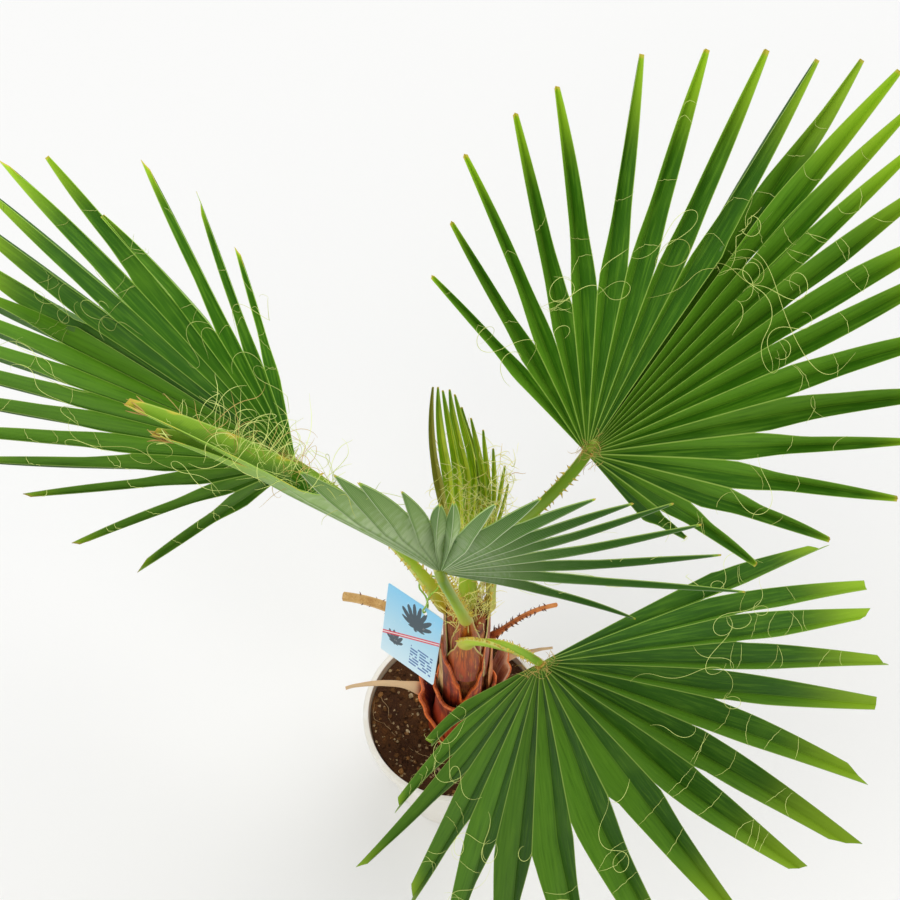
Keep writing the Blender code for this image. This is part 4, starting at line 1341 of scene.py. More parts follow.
def torn_base(name, rim, face, deep, gloss):
    """Dead palm leaf base: lignified fibre with a varnish of dried sap.

    The eye sees a torn rim a few millimetres wide that is bright, a darker face below it that
    shines a little, and fibres 0.5 to 1.5 mm wide that run up to the rim.  Further below, the
    face turns to a deep band: partly the base's own darker fibre, partly painted shade of the
    hollows between the bases.
    """
    material, node = shaded(name, gloss, 1.5, 0.45)
    across, from_rim, share, _, place, tone = map_values(node)
    fibre = drawn_out(node, (across, share, tone), (14.0, 3.5, 5.0))
    patch = node("TexNoise", place, Scale=85.0, Detail=4.0)
    away = node("Math ADD", from_rim, node("Math MULTIPLY_ADD", patch, 26.0, -12.0))
    # The deep stop is partly darker fibre and partly painted shade of the hollows below the rim.
    ground = node("ValToRGB", node("MapRange", away, 0.0, 40.0), ramp=(
        (0.04, rim), (0.18, face), (0.42, deep), (1.0, face)))
    colour = layered(node, ground, (
        (fibre, 0.52, 0.72, 0.5, rim),
        (fibre, 0.48, 0.28, 0.55, deep),
        (patch, 0.6, 0.75, 0.3, rim),
        (share, 0.02, 0.16, 0.92, "#D8BC90")))
    return dressed(material, colour, (fibre, 0.0005, 0.6), (fibre, gloss - 0.06, gloss + 0.14))


def thread_fibre(name, fresh, dried):
    """Loose leaf thread: a dried strip of fibre, matt, from fresh yellow to straw."""
    material, node = shaded(name, 0.6, 1.5, 0.25)
    _, _, share, _, place, tone = map_values(node)
    grain = node("TexNoise", place, Scale=120.0, Detail=2.0)
    ground = node("ValToRGB", tone, ramp=((0.0, fresh), (0.7, fresh), (1.0, dried)))
    colour = layered(node, ground, ((grain, 0.55, 0.75, 0.3, dried),
                                    (share, 0.8, 1.0, 0.3, dried)))
    return dressed(material, colour, (grain, 0.0001, 0.3))


def corky(leaf):
    """Hastula: corky tissue where stalk and blade meet, cracked and matt, brown to orange."""
    material, node = shaded("Palm hastula, corky", 0.65, 1.5, 0.25)
    across, _, _, _, place, _ = map_values(node)
    grain = node("TexNoise", place, Scale=420.0, Detail=4.0)
    ground = node("ValToRGB", grain, ramp=((0.3, "#6A4A18"), (0.5, "#A8842E"), (0.7, "#CDBE5A")))
    return dressed(material, layered(node, ground, ((across, 0.75, 1.0, 0.8, leaf.stalk),)),
                   (grain, 0.0004, 0.7))


def moulded_pot(pot):
    """Polypropylene, injection moulded: even satin white, faint flow lines, dust near the rim."""
    material, node = shaded("Polypropylene, injection moulded", 0.42, 1.49, 0.4)
    place = node("TexCoord", out="Object")
    height = node("SeparateXYZ", place, out=2)
    peel = node("TexNoise", place, Scale=1400.0, Detail=2.0)
    flow = drawn_out(node, place, (60.0, 60.0, 9.0))
    dust = node("TexNoise", place, Scale=160.0, Detail=5.0, Roughness=0.7)
    ground = node("ValToRGB", flow, ramp=((0.25, "#EFECE2"), (0.55, pot.pot), (0.8, "#FAF9F4")))
    # Negative on the wall's inner side, where the damp soil has stained it.
    outward = node("VectorMath DOT_PRODUCT", node("NewGeometry", out="Normal"), place, out="Value")
    scuff = node("Math MULTIPLY", node("MapRange", height, 0.03, 0.0), dust)
    colour = layered(node, ground, (
        (outward, -0.03, -0.07, 0.8, "#B08F5E"),
        (dust, 0.66, 0.8, 0.25, "#B4A58C"),
        (scuff, 0.35, 0.75, 0.45, "#A89A82")))
    return dressed(material, colour, (peel, 0.00008, 0.35), (flow, 0.36, 0.5))


def peat_mix(name, pot, dark, light):
    """Potting mix: damp peat with bark crumbs, screened; grains of 1 to 4 mm, fully matt."""
    material, node = shaded(name, 0.95, 1.4, 0.15)
    place = node("TexCoord", out="Object")
    tone = node("Attribute", attribute_name="Tone", out="Fac")
    grains = node("TexVoronoi", place, Scale=420.0)
    fine = node("TexNoise", place, Scale=900.0, Detail=5.0, Roughness=0.7)
    patch = node("TexNoise", place, Scale=45.0, Detail=4.0)
    value = node("SeparateXYZ", grains.node.outputs["Color"])
    ground = node("ValToRGB", patch, ramp=((0.35, dark), (0.7, light)))
    colour = layered(node, ground, (
        (patch, 0.56, 0.7, 0.4, "#8A5626"),
        (value, 0.55, 0.95, 0.55, light),
        (fine, 0.55, 0.35, 0.6, "#1B100A"),
        (value, 0.955, 0.965, 0.7, pot.pumice)))
    return dressed(material, toned(node, colour, tone, 0.45),
                   (node("Math ADD", fine, grains), 0.001, 0.8))


def pumice_stone(pot):
    """Pumice: frothy volcanic glass, crushed; chalky and full of pores under 0.5 mm."""
    material, node = shaded("Pumice, crushed", 0.92, 1.5, 0.2)
    place = node("TexCoord", out="Object")
    pores = node("TexVoronoi", place, Scale=1500.0)
    stain = node("TexNoise", place, Scale=260.0, Detail=4.0)
    ground = node("ValToRGB", stain, ramp=((0.3, "#8F7A58"), (0.55, pot.pumice),
                                           (0.75, "#E6DECA")))
    # Painted shade: the pores are painted darker brown, for the shade inside them.
    return dressed(material, layered(node, ground, ((pores, 0.3, 0.05, 0.45, "#6B5A40"),)),
                   (pores, 0.0004, 0.7))


def printed_card(label):
    """Coated card, offset printed: bright inks under a clear coat, with a generic leaf motif."""
    material, node = shaded("Coated card, offset printed", 0.3, 1.5, 0.4)
    u, v, _, _, place, _ = map_values(node)
    grain = node("TexNoise", place, Scale=300.0, Detail=4.0)
    ground = node("ValToRGB", v, ramp=((0.0, label.haze), (0.55, "#B2E0F5"), (1.0, label.sky)))
    layers = []
    for centre_u, centre_v, size, leaves, turn in PRINTED_LEAVES:
        x = node("Math SUBTRACT", u, centre_u)
        y = node("Math SUBTRACT", v, centre_v)
        angle = node("Math ARCTAN2", y, x)
        spun = node("Math MULTIPLY_ADD", angle, leaves, turn)
        petal = node("Math ABSOLUTE", node("Math COSINE", spun))
        away = node("VectorMath LENGTH", node("CombineXYZ", x, y), out=1)
        edge = node("MapRange", petal, 0.0, 1.0, size * 0.55, size)
        upward = node("MapRange", node("Math DIVIDE", y, away), -0.35, 0.45, 0.12)
        inside = node("Math SUBTRACT", node("Math MULTIPLY", edge, upward),
                      node("Math MULTIPLY_ADD", grain, 0.06, away))
        layers.append((inside, -0.04, -0.025, 0.95, label.motif))
    slope = node("Math MULTIPLY_ADD", u, 0.34, 0.28)
    off_band = node("Math ABSOLUTE", node("Math SUBTRACT", v, slope))
    cells = node("VectorMath MULTIPLY", node("CombineXYZ", u, v), (26.0, 23.8, 0.0))
    filled = node("TexWhiteNoise", node("VectorMath FLOOR", cells))
    rows = node("Math GREATER_THAN", filled, 0.22)
    line = node("Math MODULO", v, 0.042)
    for pattern, low, high in ((line, 0.024, 0.02), (u, 0.52, 0.53), (v, 0.36, 0.35),
                               (v, 0.075, 0.085), (u, 0.93, 0.92)):
        rows = node("Math MULTIPLY", rows, node("MapRange", pattern, low, high))
    layers += [(off_band, 0.03, 0.022, 0.95, label.band),
               (off_band, 0.0085, 0.0055, 0.85, "#F3F6F4"),
               (rows, 0.1, 0.5, 0.9, label.rows),
               (grain, 0.62, 0.8, 0.25, "#FFFFFF")]
    return dressed(material, layered(node, ground, layers), (grain, 0.00005, 0.2),
                   (grain, 0.24, 0.38))


def plain_card():
    """Coated card, unprinted: bright white with faint fibre mottling."""
    material, node = shaded("Coated card, unprinted", 0.35, 1.5, 0.4)
    fibre = node("TexNoise", node("TexCoord", out="Object"), Scale=700.0, Detail=4.0)
    return dressed(material, node("ValToRGB", fibre, ramp=(
        (0.3, "#E4E9EA"), (0.7, "#F6F8F8"))), (fibre, 0.00005, 0.2))


def soft_tie(label):
    """Soft PVC tie, extruded: slightly waxy green with faint die lines."""
    material, node = shaded("PVC tie, extruded", 0.38, 1.53, 0.4)
    lines = node("TexNoise", node("TexCoord", out="Object"), Scale=700.0, Detail=2.0)
    ground = node("ValToRGB", lines, ramp=((0.3, label.tie), (0.8, "#A9CC54")))
    return dressed(material, layered(node, ground, ((lines, 0.45, 0.25, 0.4, "#5E8A1C"),)),
                   (lines, 0.0001, 0.3))


def studio_floor(studio):
    """Painted board, rolled and matt: an even pale ground with the faintest mottling."""
    material, node = shaded("Painted board, matt", 0.8, 1.45, 0.1)
    place = node("TexCoord", out="Object")
    mottle = node("TexNoise", place, Scale=1.2, Detail=2.0)
    faded = node("Math MULTIPLY_ADD", node("SeparateXYZ", place, out=1), 0.8, 0.1)
    return dressed(material, node("ValToRGB", node("Math ADD", faded, mottle), ramp=(
        (0.0, "#F6F5F2"), (1.0, studio.floor))))


# ---- pot and soil ----
def pot_inner_radius(height):
    rim_inner = RIM_RADIUS - RIM_PROUD - POT_WALL
    share = height / POT_HEIGHT
    return (BASE_RADIUS - POT_WALL) * (1.0 - share) + rim_inner * share


def arc(x, y, radius, start, stop, steps):
    """Points of a rounded corner in a turned profile."""
    points = []
    for k in range(steps + 1):
        across, up = polar(radius, math.radians(start + (stop - start) * k / steps))
        points.append((x + across, y + up))
    return points


def turned(profile):
    """Spin a profile of (radius, height) points about an upright axis."""
    bm = bmesh.new()
    points = [bm.verts.new((radius, 0.0, height)) for radius, height in profile]
    edges = [bm.edges.new(pair) for pair in zip(points, points[1:])]
    bmesh.ops.spin(bm, geom=points + edges, cent=(0, 0, 0), axis=(0, 0, 1), dvec=(0, 0, 0),
                   angle=math.tau, steps=POT_SIDES, use_merge=True, use_duplicate=False)
    bmesh.ops.remove_doubles(bm, verts=bm.verts, dist=1e-6)
    bmesh.ops.recalc_face_normals(bm, faces=bm.faces)
    return bm


def build_pot():
    """The moulded pot: rolled rim, tapered wall, drain channels and holes in its foot."""
    under = POT_HEIGHT - RIM_DEPTH
    inner = pot_inner_radius(POT_HEIGHT)
    foot = BASE_RADIUS - FOOT_ROUND
    profile = [(0.0, 0.001), (DRAIN_STEP, 0.001), (DRAIN_START, 0.0), (foot, 0.0),
               *arc(foot, FOOT_ROUND, FOOT_ROUND, -90, -4, 5)]
    for share in (0.25, 0.5, 0.75):
        height = FOOT_ROUND + (under - FOOT_ROUND) * share
        profile.append((pot_inner_radius(height) + POT_WALL, height))
    profile += [
        (pot_inner_radius(under) + POT_WALL, under - 0.0012),
        (pot_inner_radius(under) + POT_WALL + 0.0006, under),
        *arc(RIM_RADIUS - RIM_UNDER_ROUND, under + RIM_UNDER_ROUND, RIM_UNDER_ROUND, -90, 0, 4),
        *arc(RIM_RADIUS - RIM_BEAD, POT_HEIGHT - RIM_BEAD, RIM_BEAD, 0, 90, 6),
        *arc(inner + RIM_INNER_ROUND, POT_HEIGHT - RIM_INNER_ROUND, RIM_INNER_ROUND, 90, 180, 5),
        (pot_inner_radius(POT_HEIGHT * 0.6), POT_HEIGHT * 0.6),
        (pot_inner_radius(POT_FLOOR + 0.002), POT_FLOOR + 0.002),
        (pot_inner_radius(POT_FLOOR) - 0.0015, POT_FLOOR), (0.0, POT_FLOOR)]
    pot = ride("pot_body", mesh_of("pot_body", turned(profile)), [moulded_pot(settings().pot)],
               ["pot"], 35)
    channels, holes = bmesh.new(), bmesh.new()
    length = RIM_RADIUS - DRAIN_START
    for index in range(DRAINS):
        turn = Matrix.Rotation(math.tau * (index + 0.5) / DRAINS, 4, "Z")
        middle = Matrix.Translation((DRAIN_START + length / 2, 0, 0))
        size = Matrix.Diagonal((length, DRAIN_WIDTH, DRAIN_HEIGHT, 1.0))
        bmesh.ops.create_cube(channels, size=1.0, matrix=turn @ middle @ size)
        bmesh.ops.create_cone(holes, cap_ends=True, segments=32, radius1=DRAIN_HOLE_RADIUS,
                              radius2=DRAIN_HOLE_RADIUS, depth=DRAIN_HOLE_DEPTH,
                              matrix=turn @ Matrix.Translation((DRAIN_HOLE_AT, 0, 0)))
    for name, bm in (("drain_channels", channels), ("drain_holes", holes)):
        cutter = linked(name, mesh_of(name, bm))
        modifier = pot.modifiers.new(name, "BOOLEAN")
        modifier.operation, modifier.solver, modifier.object = "DIFFERENCE", "EXACT", cutter
        with bpy.context.temp_override(object=pot, active_object=pot):
            bpy.ops.object.modifier_apply(modifier=name)
        bpy.data.objects.remove(cutter, do_unlink=True)


def soil_height(x, y):
    """The soil's uneven surface, banked up a little at the wall."""
    bank = math.hypot(x, y) - pot_inner_radius(SOIL_TOP) + SOIL_BANK_WIDTH
    level = SOIL_TOP - 0.001 + SOIL_BANK * smooth_step(bank / SOIL_BANK_WIDTH)
    broad = wavy(x * 38, y * 38, 0.3)
    fine = noise.fractal(Vector((x * 240, y * 240, 4.0)), 0.9, 2.1, 4)
    return level + 0.0012 * broad + 0.0009 * fine


def on_soil(x, y, above):
    return Vector((x, y, soil_height(x, y) + above))


def strewn(rng, edge, near, far):
    """Radius and angle of a random spot on the soil, with shares of its area as limits."""
    return edge * math.sqrt(rng.uniform(near, far)), rng.uniform(0, math.tau)


def lump(skin, place, size, rng, slot=0, rings=1):
    """A small broken crumb."""
    bm = bmesh.new()
    bmesh.ops.create_icosphere(bm, subdivisions=rings, radius=1.0)
    shape = Vector((rng.uniform(0.7, 1.2), rng.uniform(0.6, 1.0), rng.uniform(0.5, 0.8))) * size
    turn = Matrix.Rotation(rng.uniform(0, math.tau), 3, "Z") @ Matrix.Rotation(
        rng.uniform(-0.6, 0.6), 3, "X")
    offset = Vector((rng.uniform(0, 90), rng.uniform(0, 90), 0))
    tone = rng.uniform(-1, 1)
    ids = []
    for vert in bm.verts:
        rough = 1.0 + 0.45 * noise.noise(vert.co * 1.7 + offset)
        local = Vector([a * b for a, b in zip(vert.co, shape)]) * rough
        ids.append(skin.add(place + turn @ local))
    bm.verts.index_update()
    for face in bm.faces:
        skin.face([ids[v.index] for v in face.verts], None, slot, tone)
    bm.free()


def soil_skin(skin, edge):
    """The uneven surface, and the closed body of soil below it."""
    angles = [math.tau * k / SOIL_TURNS for k in range(SOIL_TURNS)]
    hub = skin.add((0, 0, SOIL_TOP - 0.004))
    loops = []
    for ring in range(1, SOIL_RINGS + 1):
        spots = [polar(edge * (ring / SOIL_RINGS) ** 0.8, angle) for angle in angles]
        loops.append([skin.add((x, y, soil_height(x, y))) for x, y in spots])
    for depth in (0.03, 0.08, SOIL_TOP - POT_FLOOR - 0.0033):
        height = SOIL_TOP - 0.003 - depth
        away = pot_inner_radius(height) - 2 * GAP
        loops.append([skin.add((*polar(away, angle), height)) for angle in angles])
    foot = skin.add((0, 0, POT_FLOOR + GAP))
    for k, after in around(SOIL_TURNS):
        skin.face((hub, loops[0][k], loops[0][after]))
        skin.face((foot, loops[-1][after], loops[-1][k]))
        for lower, higher in zip(loops, loops[1:]):
            skin.face((lower[k], higher[k], higher[after], lower[after]))


def root_line(rng, edge):
    """A fine root that winds over the soil and keeps off the pot's wall."""
    x, y = polar(edge * rng.uniform(0.45, 0.9), rng.uniform(0, math.tau))
    heading = rng.uniform(0, math.tau)
    line = []
    for _ in range(rng.randrange(8, 22)):
        line.append(on_soil(x, y, ROOT_LIFT))
        heading += rng.uniform(-0.5, 0.5)
        x, y = x + math.cos(heading) * STRAND_STEP, y + math.sin(heading) * STRAND_STEP
        away = math.hypot(x, y)
        if away > edge - 0.002:
            x, y = x * (edge - 0.002) / away, y * (edge - 0.002) / away
    return line


def build_soil():
    """Soil surface with crumbs, pale chips and a few fine roots."""
    pot = settings().pot
    rng = random.Random(11)
    edge = pot_inner_radius(SOIL_TOP + SOIL_BANK - 0.003) - 2 * GAP
    skin, chips, roots = Skin(), Skin(), Skin()
    soil_skin(skin, edge)
    for _ in range(pot.crumbs):
        away, angle = strewn(rng, edge, 0.14, 0.97)
        size = rng.choice(CRUMB_SIZES) * rng.uniform(0.7, 1.2)
        place = on_soil(*polar(min(away, edge - size), angle), size * 0.2)
        lump(skin, place, size, rng, rng.choice((0, 0, 1)))
    skin.piece("soil_surface", [
        peat_mix("Potting mix, damp peat", pot, pot.peat, "#57381F"),
        peat_mix("Potting mix, bark crumbs", pot, pot.bark, "#8A6236")],
        ["soil"], "potting_soil", sharp=60)

    for _ in range(pot.chips):
        away, angle = strewn(rng, edge, 0.16, 0.95)
        size = rng.uniform(*CHIP_SIZES)
        lump(chips, on_soil(*polar(away, angle), size * 0.3), size, rng)
    pumice = pumice_stone(pot)
    chips.piece("pumice_chips", [pumice], (), "pumice", sharp=30)
    for number in range(1, 9):
        node = f"pumice_grain_{number}"
        low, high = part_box(node)
        middle = (low + high) / 2
        grain = Skin()
        lump(grain, on_soil(middle.x, middle.y, 0.0012), (high.x - low.x) * 0.55, rng, rings=3)
        grain.piece(f"pumice_stone_{number}", [pumice], [node], "pumice", sharp=30)

    for _ in range(pot.roots):
        strand(roots, rng, root_line(rng, edge), ROOT_RADIUS, 0, sides=5)
    roots.piece("fine_roots", [thread_fibre("Palm root, dried", "#9C8058", "#6E5030")], (),
                "dry_leaf_base")


# ---- trunk and leaves ----
def build_trunk():
    """The trunk's core, wrapped in the fibres of leaves long gone."""
    skin = Skin()
    rings, values = [], []
    for step in range(TRUNK_RINGS + 1):
        share = step / TRUNK_RINGS
        height = SOIL_TOP - TRUNK_SUNK + (TRUNK_TOP - SOIL_TOP + TRUNK_SUNK) * share
        tip = smooth_step((height - (TRUNK_TOP - TRUNK_TIP_DEPTH)) / TRUNK_TIP_ROUND)
        ring = []
        for k in range(TRUNK_TURNS):
            angle = math.tau * k / TRUNK_TURNS
            rough = noise.fractal(Vector((*polar(6, angle), height * 22)), 0.8, 2.0, 4)
            radius = (trunk_radius(height) - 0.0006 + 0.0009 * rough) * (1.0 - 0.45 * tip)
            ring.append(around_trunk(radius, angle, height))
        rings.append(ring)
        values.append([(k / TRUNK_TURNS, 9.0, share - 1.0, 0.0) for k in range(TRUNK_TURNS)])
    skin_loft(skin, rings, values)
    skin.piece("trunk_core", [dried_base("Palm trunk, matted fibre", "#C4803C", "#A05024",
                                         "#4E1E10", 0.7)], ["trunk"], "trunk_bark")


def build_bases():
    """Split bases of dead leaves round the trunk's foot, and the two dry stubs above them."""
    base, leaf = settings().base, settings().leaf
    # The outer sides' deep colour is partly darker fibre and partly painted shade below the torn
    # rims.
    outside = torn_base("Dead leaf base, split fibre", base.orange, base.mahogany, "#54180F", 0.42)
    # Painted shade: the inner sides are painted dark, for the shade in the hollows between the
    # bases and the trunk.
    inside = torn_base("Dead leaf base, inner side in painted shade", "#BC5A2C", "#58161C", base.hollow, 0.28)
    pale = torn_base("Dead leaf base, fibre lined", "#E8B08A", "#C8805C", "#9A5038", 0.55)
    rinds = {"dry_stub_left": dried_base("Dry leaf stalk, sun bleached", "#E2BE84", base.tan,
                                         "#A06E38", 0.6),
             "dry_stub_right": dried_base("Dry leaf stalk, weathered red", "#E09A58", "#C46A32",
                                          "#7E3218", 0.6)}
    dark_spine = horn("Palm spine, dead horn", "#2E1810", "#6E3A1C")
    rng = random.Random(5)
    for name, rind in rinds.items():
        skin = Skin()
        stalk_skin(skin, name)
        spines_skin(skin, name, rng, leaf.spine_length, 1)
        skin.piece(name + "_husk", [rind, dark_spine], [name], "dry_leaf_base")
    for name, petal in PETALS.items():
        skin = Skin()
        petal_skin(skin, petal)
        skin.piece(name + "_husk", [outside, pale if name == "old_base_right" else inside],
                   [name] if name.startswith("old_base") else (), "dry_leaf_base")


def build_fronds():
    """The four open leaves, each with its blade, its stalk and its threads."""
    leaf, base = settings().leaf, settings().base
    upper = blade_upper("Palm blade, waxed upper side", leaf, leaf.deep, leaf.green, leaf.light,
                        "#B2DA2C")
    under = blade_under("Palm blade, bloomed under side", leaf, leaf.under, "#4F7C26", "#2A5A0A")
    rind = stalk_living(leaf, base)
    spine = horn("Palm spine, living horn", "#8A5A20", leaf.spine)
    cork = corky(leaf)
    thread = thread_fibre("Palm thread, dried fibre", leaf.thread, "#C9D070")
    straw = thread_fibre("Palm fibre, dried brown", "#D6B868", "#946A34")
    rng = random.Random(3)
    for number, (name, fan) in enumerate(FANS.items()):
        if name == "leaf_unfolding":
            continue
        blade, stalk = Skin(), Skin()
        blade_skin(blade, fan, leaf.thickness, random.Random(fan.segments * 7))
        blade.piece(name + "_blade", [upper, under], [name], "leaf_green", sharp=50)
        stalk_skin(stalk, name)
        spines_skin(stalk, name, rng, leaf.spine_length, 1)
        hastula_skin(stalk, fan, HASTULA_SIZE, 2)
        stalk.piece(name + "_stalk", [rind, spine, cork], (), "leaf_green")
        blade_threads(fan, leaf, 40 + number).piece(name + "_threads", [thread, straw], (),
                                                    "leaf_green", sharp=80)


def build_unfolding():
    """The youngest leaf on the trunk's tip, and the fibres round its foot."""
    leaf, base = settings().leaf, settings().base
    fan = FANS["leaf_unfolding"]
    upper = blade_upper("Young palm blade, upper side", leaf, leaf.young, "#B4D41C", "#5C9216",
                        "#5C9216")
    under = blade_under("Young palm blade, under side", leaf, "#F4F050", "#BAD428", "#5A9018")
    skin = Skin()
    blade_skin(skin, fan, leaf.thickness, random.Random(77))
    foot = Vector((TRUNK_X, 0.0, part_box("trunk")[1].z + GAP))
    head = fan.foot + fan.axis * KNOB_STEPS[2][0]
    turns = [math.tau * k / SPEAR_TURNS for k in range(SPEAR_TURNS)]
    rings, values = [], []
    for share, radius in SPEAR_STEPS:
        rings.append([foot.lerp(head, share) + ray(turn) * radius for turn in turns])
        values.append([(math.cos(turn), 3.0, share * 0.5, 0.0) for turn in turns])
    skin_loft(skin, rings, values, 2)
    skin.piece("leaf_unfolding_spear",
               [upper, under, bpy.data.materials["Palm stalk, living rind"]],
               ["leaf_unfolding"], "young_leaf", sharp=50)

    rng = random.Random(21)
    fibres = Skin()
    for _ in range(base.fibres):
        angle = rng.uniform(0, math.tau)
        place = around_trunk(rng.uniform(*CROWN_RADII), angle, rng.uniform(*CROWN_HEIGHTS))
        heading = Vector((math.cos(angle) * 0.16 + rng.gauss(0, 0.12),
                          math.sin(angle) * 0.16 + rng.gauss(0, 0.12), 1.0))
        line = flying_line(rng, place, heading, rng.uniform(0.012, 0.036), rng.uniform(25, 110))
        strand(fibres, rng, line, rng.uniform(0.0002, 0.00045), rng.choice((0, 0, 1)))
    for _ in range(base.fibres):
        place, across, normal = fan.place(rng.uniform(0, fan.segments - 1),
                                          fan.length * rng.triangular(0.22, 0.75, 0.36))
        heading = normal * rng.choice((-1.0, 1.0)) + across * rng.uniform(-1, 1)
        heading.z += 0.4
        line = flying_line(rng, place, heading, rng.uniform(0.012, 0.034), rng.uniform(40, 170))
        strand(fibres, rng, line, rng.uniform(0.0002, 0.0003), rng.choice((0, 1, 1)))
    torn = thread_fibre("Palm crown fibre, torn", base.fibre, "#C88A3A")
    fresh = thread_fibre("Palm crown fibre, fresh", "#FBF8A8", "#E6D468")
    fibres.piece("crown_fibres", [torn, fresh], (), "young_leaf", sharp=80)


# ---- label and tie ----
def label_matrix():
    turn, lean, tilt = (Matrix.Rotation(math.radians(angle), 4, axis)
                        for angle, axis in zip(LABEL_TURNS, "ZXY"))
    return Matrix.Translation(LABEL_CENTRE) @ turn @ lean @ tilt


def card_outline(half):
    """The edge of a card with rounded corners, in short steps."""
    outline = []
    for side_x, side_y, start in ((1, 1, 0), (-1, 1, 90), (-1, -1, 180), (1, -1, 270)):
        centre = Vector((side_x * (half.x - LABEL_CORNER), side_y * (half.y - LABEL_CORNER)))
        for k in range(5):
            outward = Vector(polar(1.0, math.radians(start + 90 * k / 4)))
            outline.append(centre + outward * LABEL_CORNER)
    dense = []
    for a, b in zip(outline, outline[1:] + outline[:1]):
        count = max(1, int((b - a).length / LABEL_STEP))
        dense += [a.lerp(b, k / count) for k in range(count)]
    return dense


def build_label():
    """A thin printed card with a round hole, slightly bowed."""
    label = settings().label
    skin = Skin()
    matrix = label_matrix()
    half = Vector((label.width / 2, label.height / 2))
    hole = Vector((HOLE_ACROSS, half.y - HOLE_IN))
    outline = card_outline(half)

    def corner(spot, side):
        """The point on one side of the card, and its values on the maps."""
        bow = label.curl * (1.0 - (spot.x / half.x) ** 2) * 0.5
        place = Vector((spot.x, side * LABEL_THICKNESS / 2 + bow * 0.4, spot.y))
        return (skin.add(matrix @ place),
                (0.5 + spot.x / label.width, 0.5 + spot.y / label.height, 0.0, 0.0))

    def face(corners, turned_over, slot):
        ids, values = zip(*(corners[::-1] if turned_over else corners))
        skin.face(ids, values, slot)

    sides = []
    for side in (-1, 1):
        loops = [[corner((hole + (edge - hole).normalized() * HOLE_RADIUS).lerp(
            edge, (ring / LABEL_RINGS) ** 1.4), side) for edge in outline]
            for ring in range(LABEL_RINGS + 1)]
        sides.append(loops)
        for lower, higher in zip(loops, loops[1:]):
            for k, after in around(len(outline)):
                face([lower[k], lower[after], higher[after], higher[k]], side > 0, int(side > 0))
    for ring in (0, LABEL_RINGS):
        front, back = sides[0][ring], sides[1][ring]
        for k, after in around(len(outline)):
            face([front[k], back[k], back[after], front[after]], ring > 0, 1)
    skin.piece("plant_label_card", [printed_card(label), plain_card()], ["plant_label"],
               "label_card")


def tie_curve():
    """Middle line of the tie: round the left leaf's stalk and through the label's hole."""
    place, along, upper, _ = stalk_path("leaf_left", TIE_PLACE)
    centre = place - upper * STALKS["leaf_left"].depth * 0.4
    matrix = label_matrix()
    hole = matrix @ Vector((HOLE_ACROSS, 0.0, settings().label.height / 2 - HOLE_IN))
    card_up = matrix.to_3x3() @ UP
    card_normal = matrix.to_3x3() @ Vector((0, 1, 0))
    leave = square_to(hole - centre, along)
    beside = along.cross(leave)
    if beside.dot(card_normal) < 0:
        beside.negate()
    half_ring = [centre + (leave * math.cos(a) + beside * math.sin(a)) * TIE_RING_RADIUS
                 for a in map(math.radians, (65, 105, 145))]
    far_ring = [point - beside * 2 * (point - centre).dot(beside) for point in half_ring]
    middle = centre.lerp(hole, 0.62)
    bend = hole + card_up * TIE_BEND_HEIGHT
    knots = [hole + card_up * (HOLE_RADIUS - 2 * TIE_RADIUS - GAP),
             bend + card_normal * TIE_STRAND_APART,
             middle + (beside + card_normal) * TIE_STRAND_APART,
             *half_ring, centre - leave * TIE_RING_RADIUS, *far_ring[::-1],
             middle - (beside + card_normal) * TIE_STRAND_APART,
             bend - card_normal * TIE_STRAND_APART]
    curve = bpy.data.curves.new("tie_line", "CURVE")
    curve.dimensions = "3D"
    curve.resolution_u = 10
    curve.bevel_depth = TIE_RADIUS
    curve.bevel_resolution = 3
    spline = curve.splines.new("BEZIER")
    spline.bezier_points.add(len(knots) - 1)
    spline.use_cyclic_u = True
    for knot, point in zip(spline.bezier_points, knots):
        knot.co = point
        knot.handle_left_type = knot.handle_right_type = "AUTO"
    return curve


def build_tie():
    """A soft green loop that carries the label."""
    line = linked("tie_line", tie_curve())
    mesh = bpy.data.meshes.new_from_object(line.evaluated_get(
        bpy.context.evaluated_depsgraph_get()))
    bpy.data.objects.remove(line, do_unlink=True)
    mesh.materials.clear()
    ride("label_tie_loop", mesh, [soft_tie(settings().label)], ["label_tie"], 180)


# ---- studio ----
def build_studio():
    """Pale floor, soft light and the camera."""
    studio = settings().studio
    scene = bpy.context.scene
    bm = bmesh.new()
    bmesh.ops.create_grid(bm, x_segments=24, y_segments=24, size=FLOOR_HALF)
    mesh = mesh_of("studio_floor", bm)
    mesh.materials.append(studio_floor(studio))
    floor = linked("studio_floor", mesh)

    world = bpy.data.worlds.new("studio_light")
    scene.world = world
    world.use_nodes = True
    background = world.node_tree.nodes["Background"]
    background.inputs["Color"].default_value = linear("#FFFFFF")
    background.inputs["Strength"].default_value = studio.fill

    for name, energy, azimuth in (("softbox_front", studio.key, -125),
                                  ("softbox_back", studio.rim, 40)):
        light = bpy.data.lights.new(name, "SUN")
        light.energy = energy
        light.angle = math.radians(SOFTBOX_ANGLE)
        linked(name, light).rotation_euler = (
            0.0, math.radians(90 - SOFTBOX_ELEVATION), math.radians(azimuth))

    camera = linked("camera", bpy.data.cameras.new("camera"))
    camera.data.sensor_width = 36.0
    camera.data.lens = studio.focal
    camera.data.clip_end = 50.0
    camera.location = studio.camera_place
    camera.rotation_euler = (studio.camera_pitch, 0.0, 0.0)
    scene.camera = camera
    scene.view_settings.view_transform = "Standard"


# ---- the add-on ----
class PalmOperator:
    """What every operator here shares."""

    bl_options = {"REGISTER", "UNDO"}


class OBJECT_OT_palm_pot(PalmOperator, bpy.types.Operator):
    """Build the moulded pot"""

    bl_idname = "object.palm_pot"
    bl_label = "Pot"

    def execute(self, context):
        build_pot()
        return {"FINISHED"}


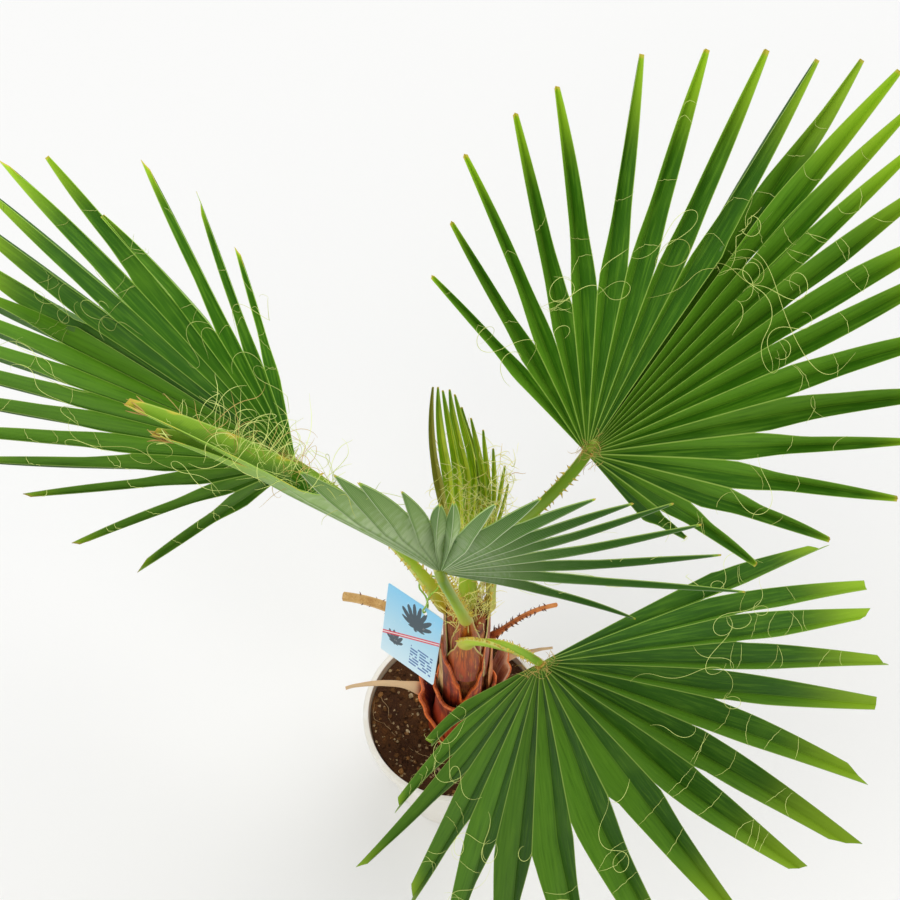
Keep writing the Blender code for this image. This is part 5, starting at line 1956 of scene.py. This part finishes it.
class OBJECT_OT_palm_soil(PalmOperator, bpy.types.Operator):
    """Build the soil with its crumbs, chips and roots"""

    bl_idname = "object.palm_soil"
    bl_label = "Soil and chips"

    def execute(self, context):
        build_soil()
        return {"FINISHED"}


class OBJECT_OT_palm_trunk(PalmOperator, bpy.types.Operator):
    """Build the trunk, the old leaf bases and the dry stubs"""

    bl_idname = "object.palm_trunk"
    bl_label = "Trunk and old bases"

    def execute(self, context):
        build_trunk()
        build_bases()
        return {"FINISHED"}


class OBJECT_OT_palm_fronds(PalmOperator, bpy.types.Operator):
    """Build the four open leaves"""

    bl_idname = "object.palm_fronds"
    bl_label = "Open leaves"

    def execute(self, context):
        build_fronds()
        return {"FINISHED"}


class OBJECT_OT_palm_unfolding(PalmOperator, bpy.types.Operator):
    """Build the unfolding leaf and the crown's fibres"""

    bl_idname = "object.palm_unfolding"
    bl_label = "Unfolding leaf"

    def execute(self, context):
        build_unfolding()
        return {"FINISHED"}


class OBJECT_OT_palm_label(PalmOperator, bpy.types.Operator):
    """Build the label and its tie"""

    bl_idname = "object.palm_label"
    bl_label = "Label and tie"

    def execute(self, context):
        build_label()
        build_tie()
        return {"FINISHED"}


class OBJECT_OT_palm_studio(PalmOperator, bpy.types.Operator):
    """Build the floor, the light and the camera"""

    bl_idname = "object.palm_studio"
    bl_label = "Studio"

    def execute(self, context):
        build_studio()
        return {"FINISHED"}


OPERATORS = (OBJECT_OT_palm_pot, OBJECT_OT_palm_soil, OBJECT_OT_palm_trunk, OBJECT_OT_palm_fronds,
             OBJECT_OT_palm_unfolding, OBJECT_OT_palm_label, OBJECT_OT_palm_studio)


class VIEW3D_PT_fan_palm(bpy.types.Panel):
    """The parts of the palm, in the sidebar"""

    bl_label = "Fan Palm"
    bl_idname = "VIEW3D_PT_fan_palm"
    bl_space_type = "VIEW_3D"
    bl_region_type = "UI"
    bl_category = "Fan Palm"

    def draw(self, context):
        for operator in OPERATORS:
            self.layout.operator(operator.bl_idname)
        for group in ("leaf", "base", "pot", "label", "studio"):
            owner = getattr(context.scene.fan_palm, group)
            box = self.layout.box()
            box.label(text=group.capitalize())
            for key in owner.__annotations__:
                box.prop(owner, key)


CLASSES = (LeafSettings, BaseSettings, PotSettings, LabelSettings, StudioSettings,
           FanPalmSettings, *OPERATORS, VIEW3D_PT_fan_palm)


def register():
    for cls in CLASSES:
        bpy.utils.register_class(cls)
    bpy.types.Scene.fan_palm = PointerProperty(type=FanPalmSettings)


def unregister():
    del bpy.types.Scene.fan_palm
    for cls in reversed(CLASSES):
        bpy.utils.unregister_class(cls)


def main():
    register()
    for operator in OPERATORS:
        group, action = operator.bl_idname.split(".")
        getattr(getattr(bpy.ops, group), action)()


if __name__ == "__main__":
    main()
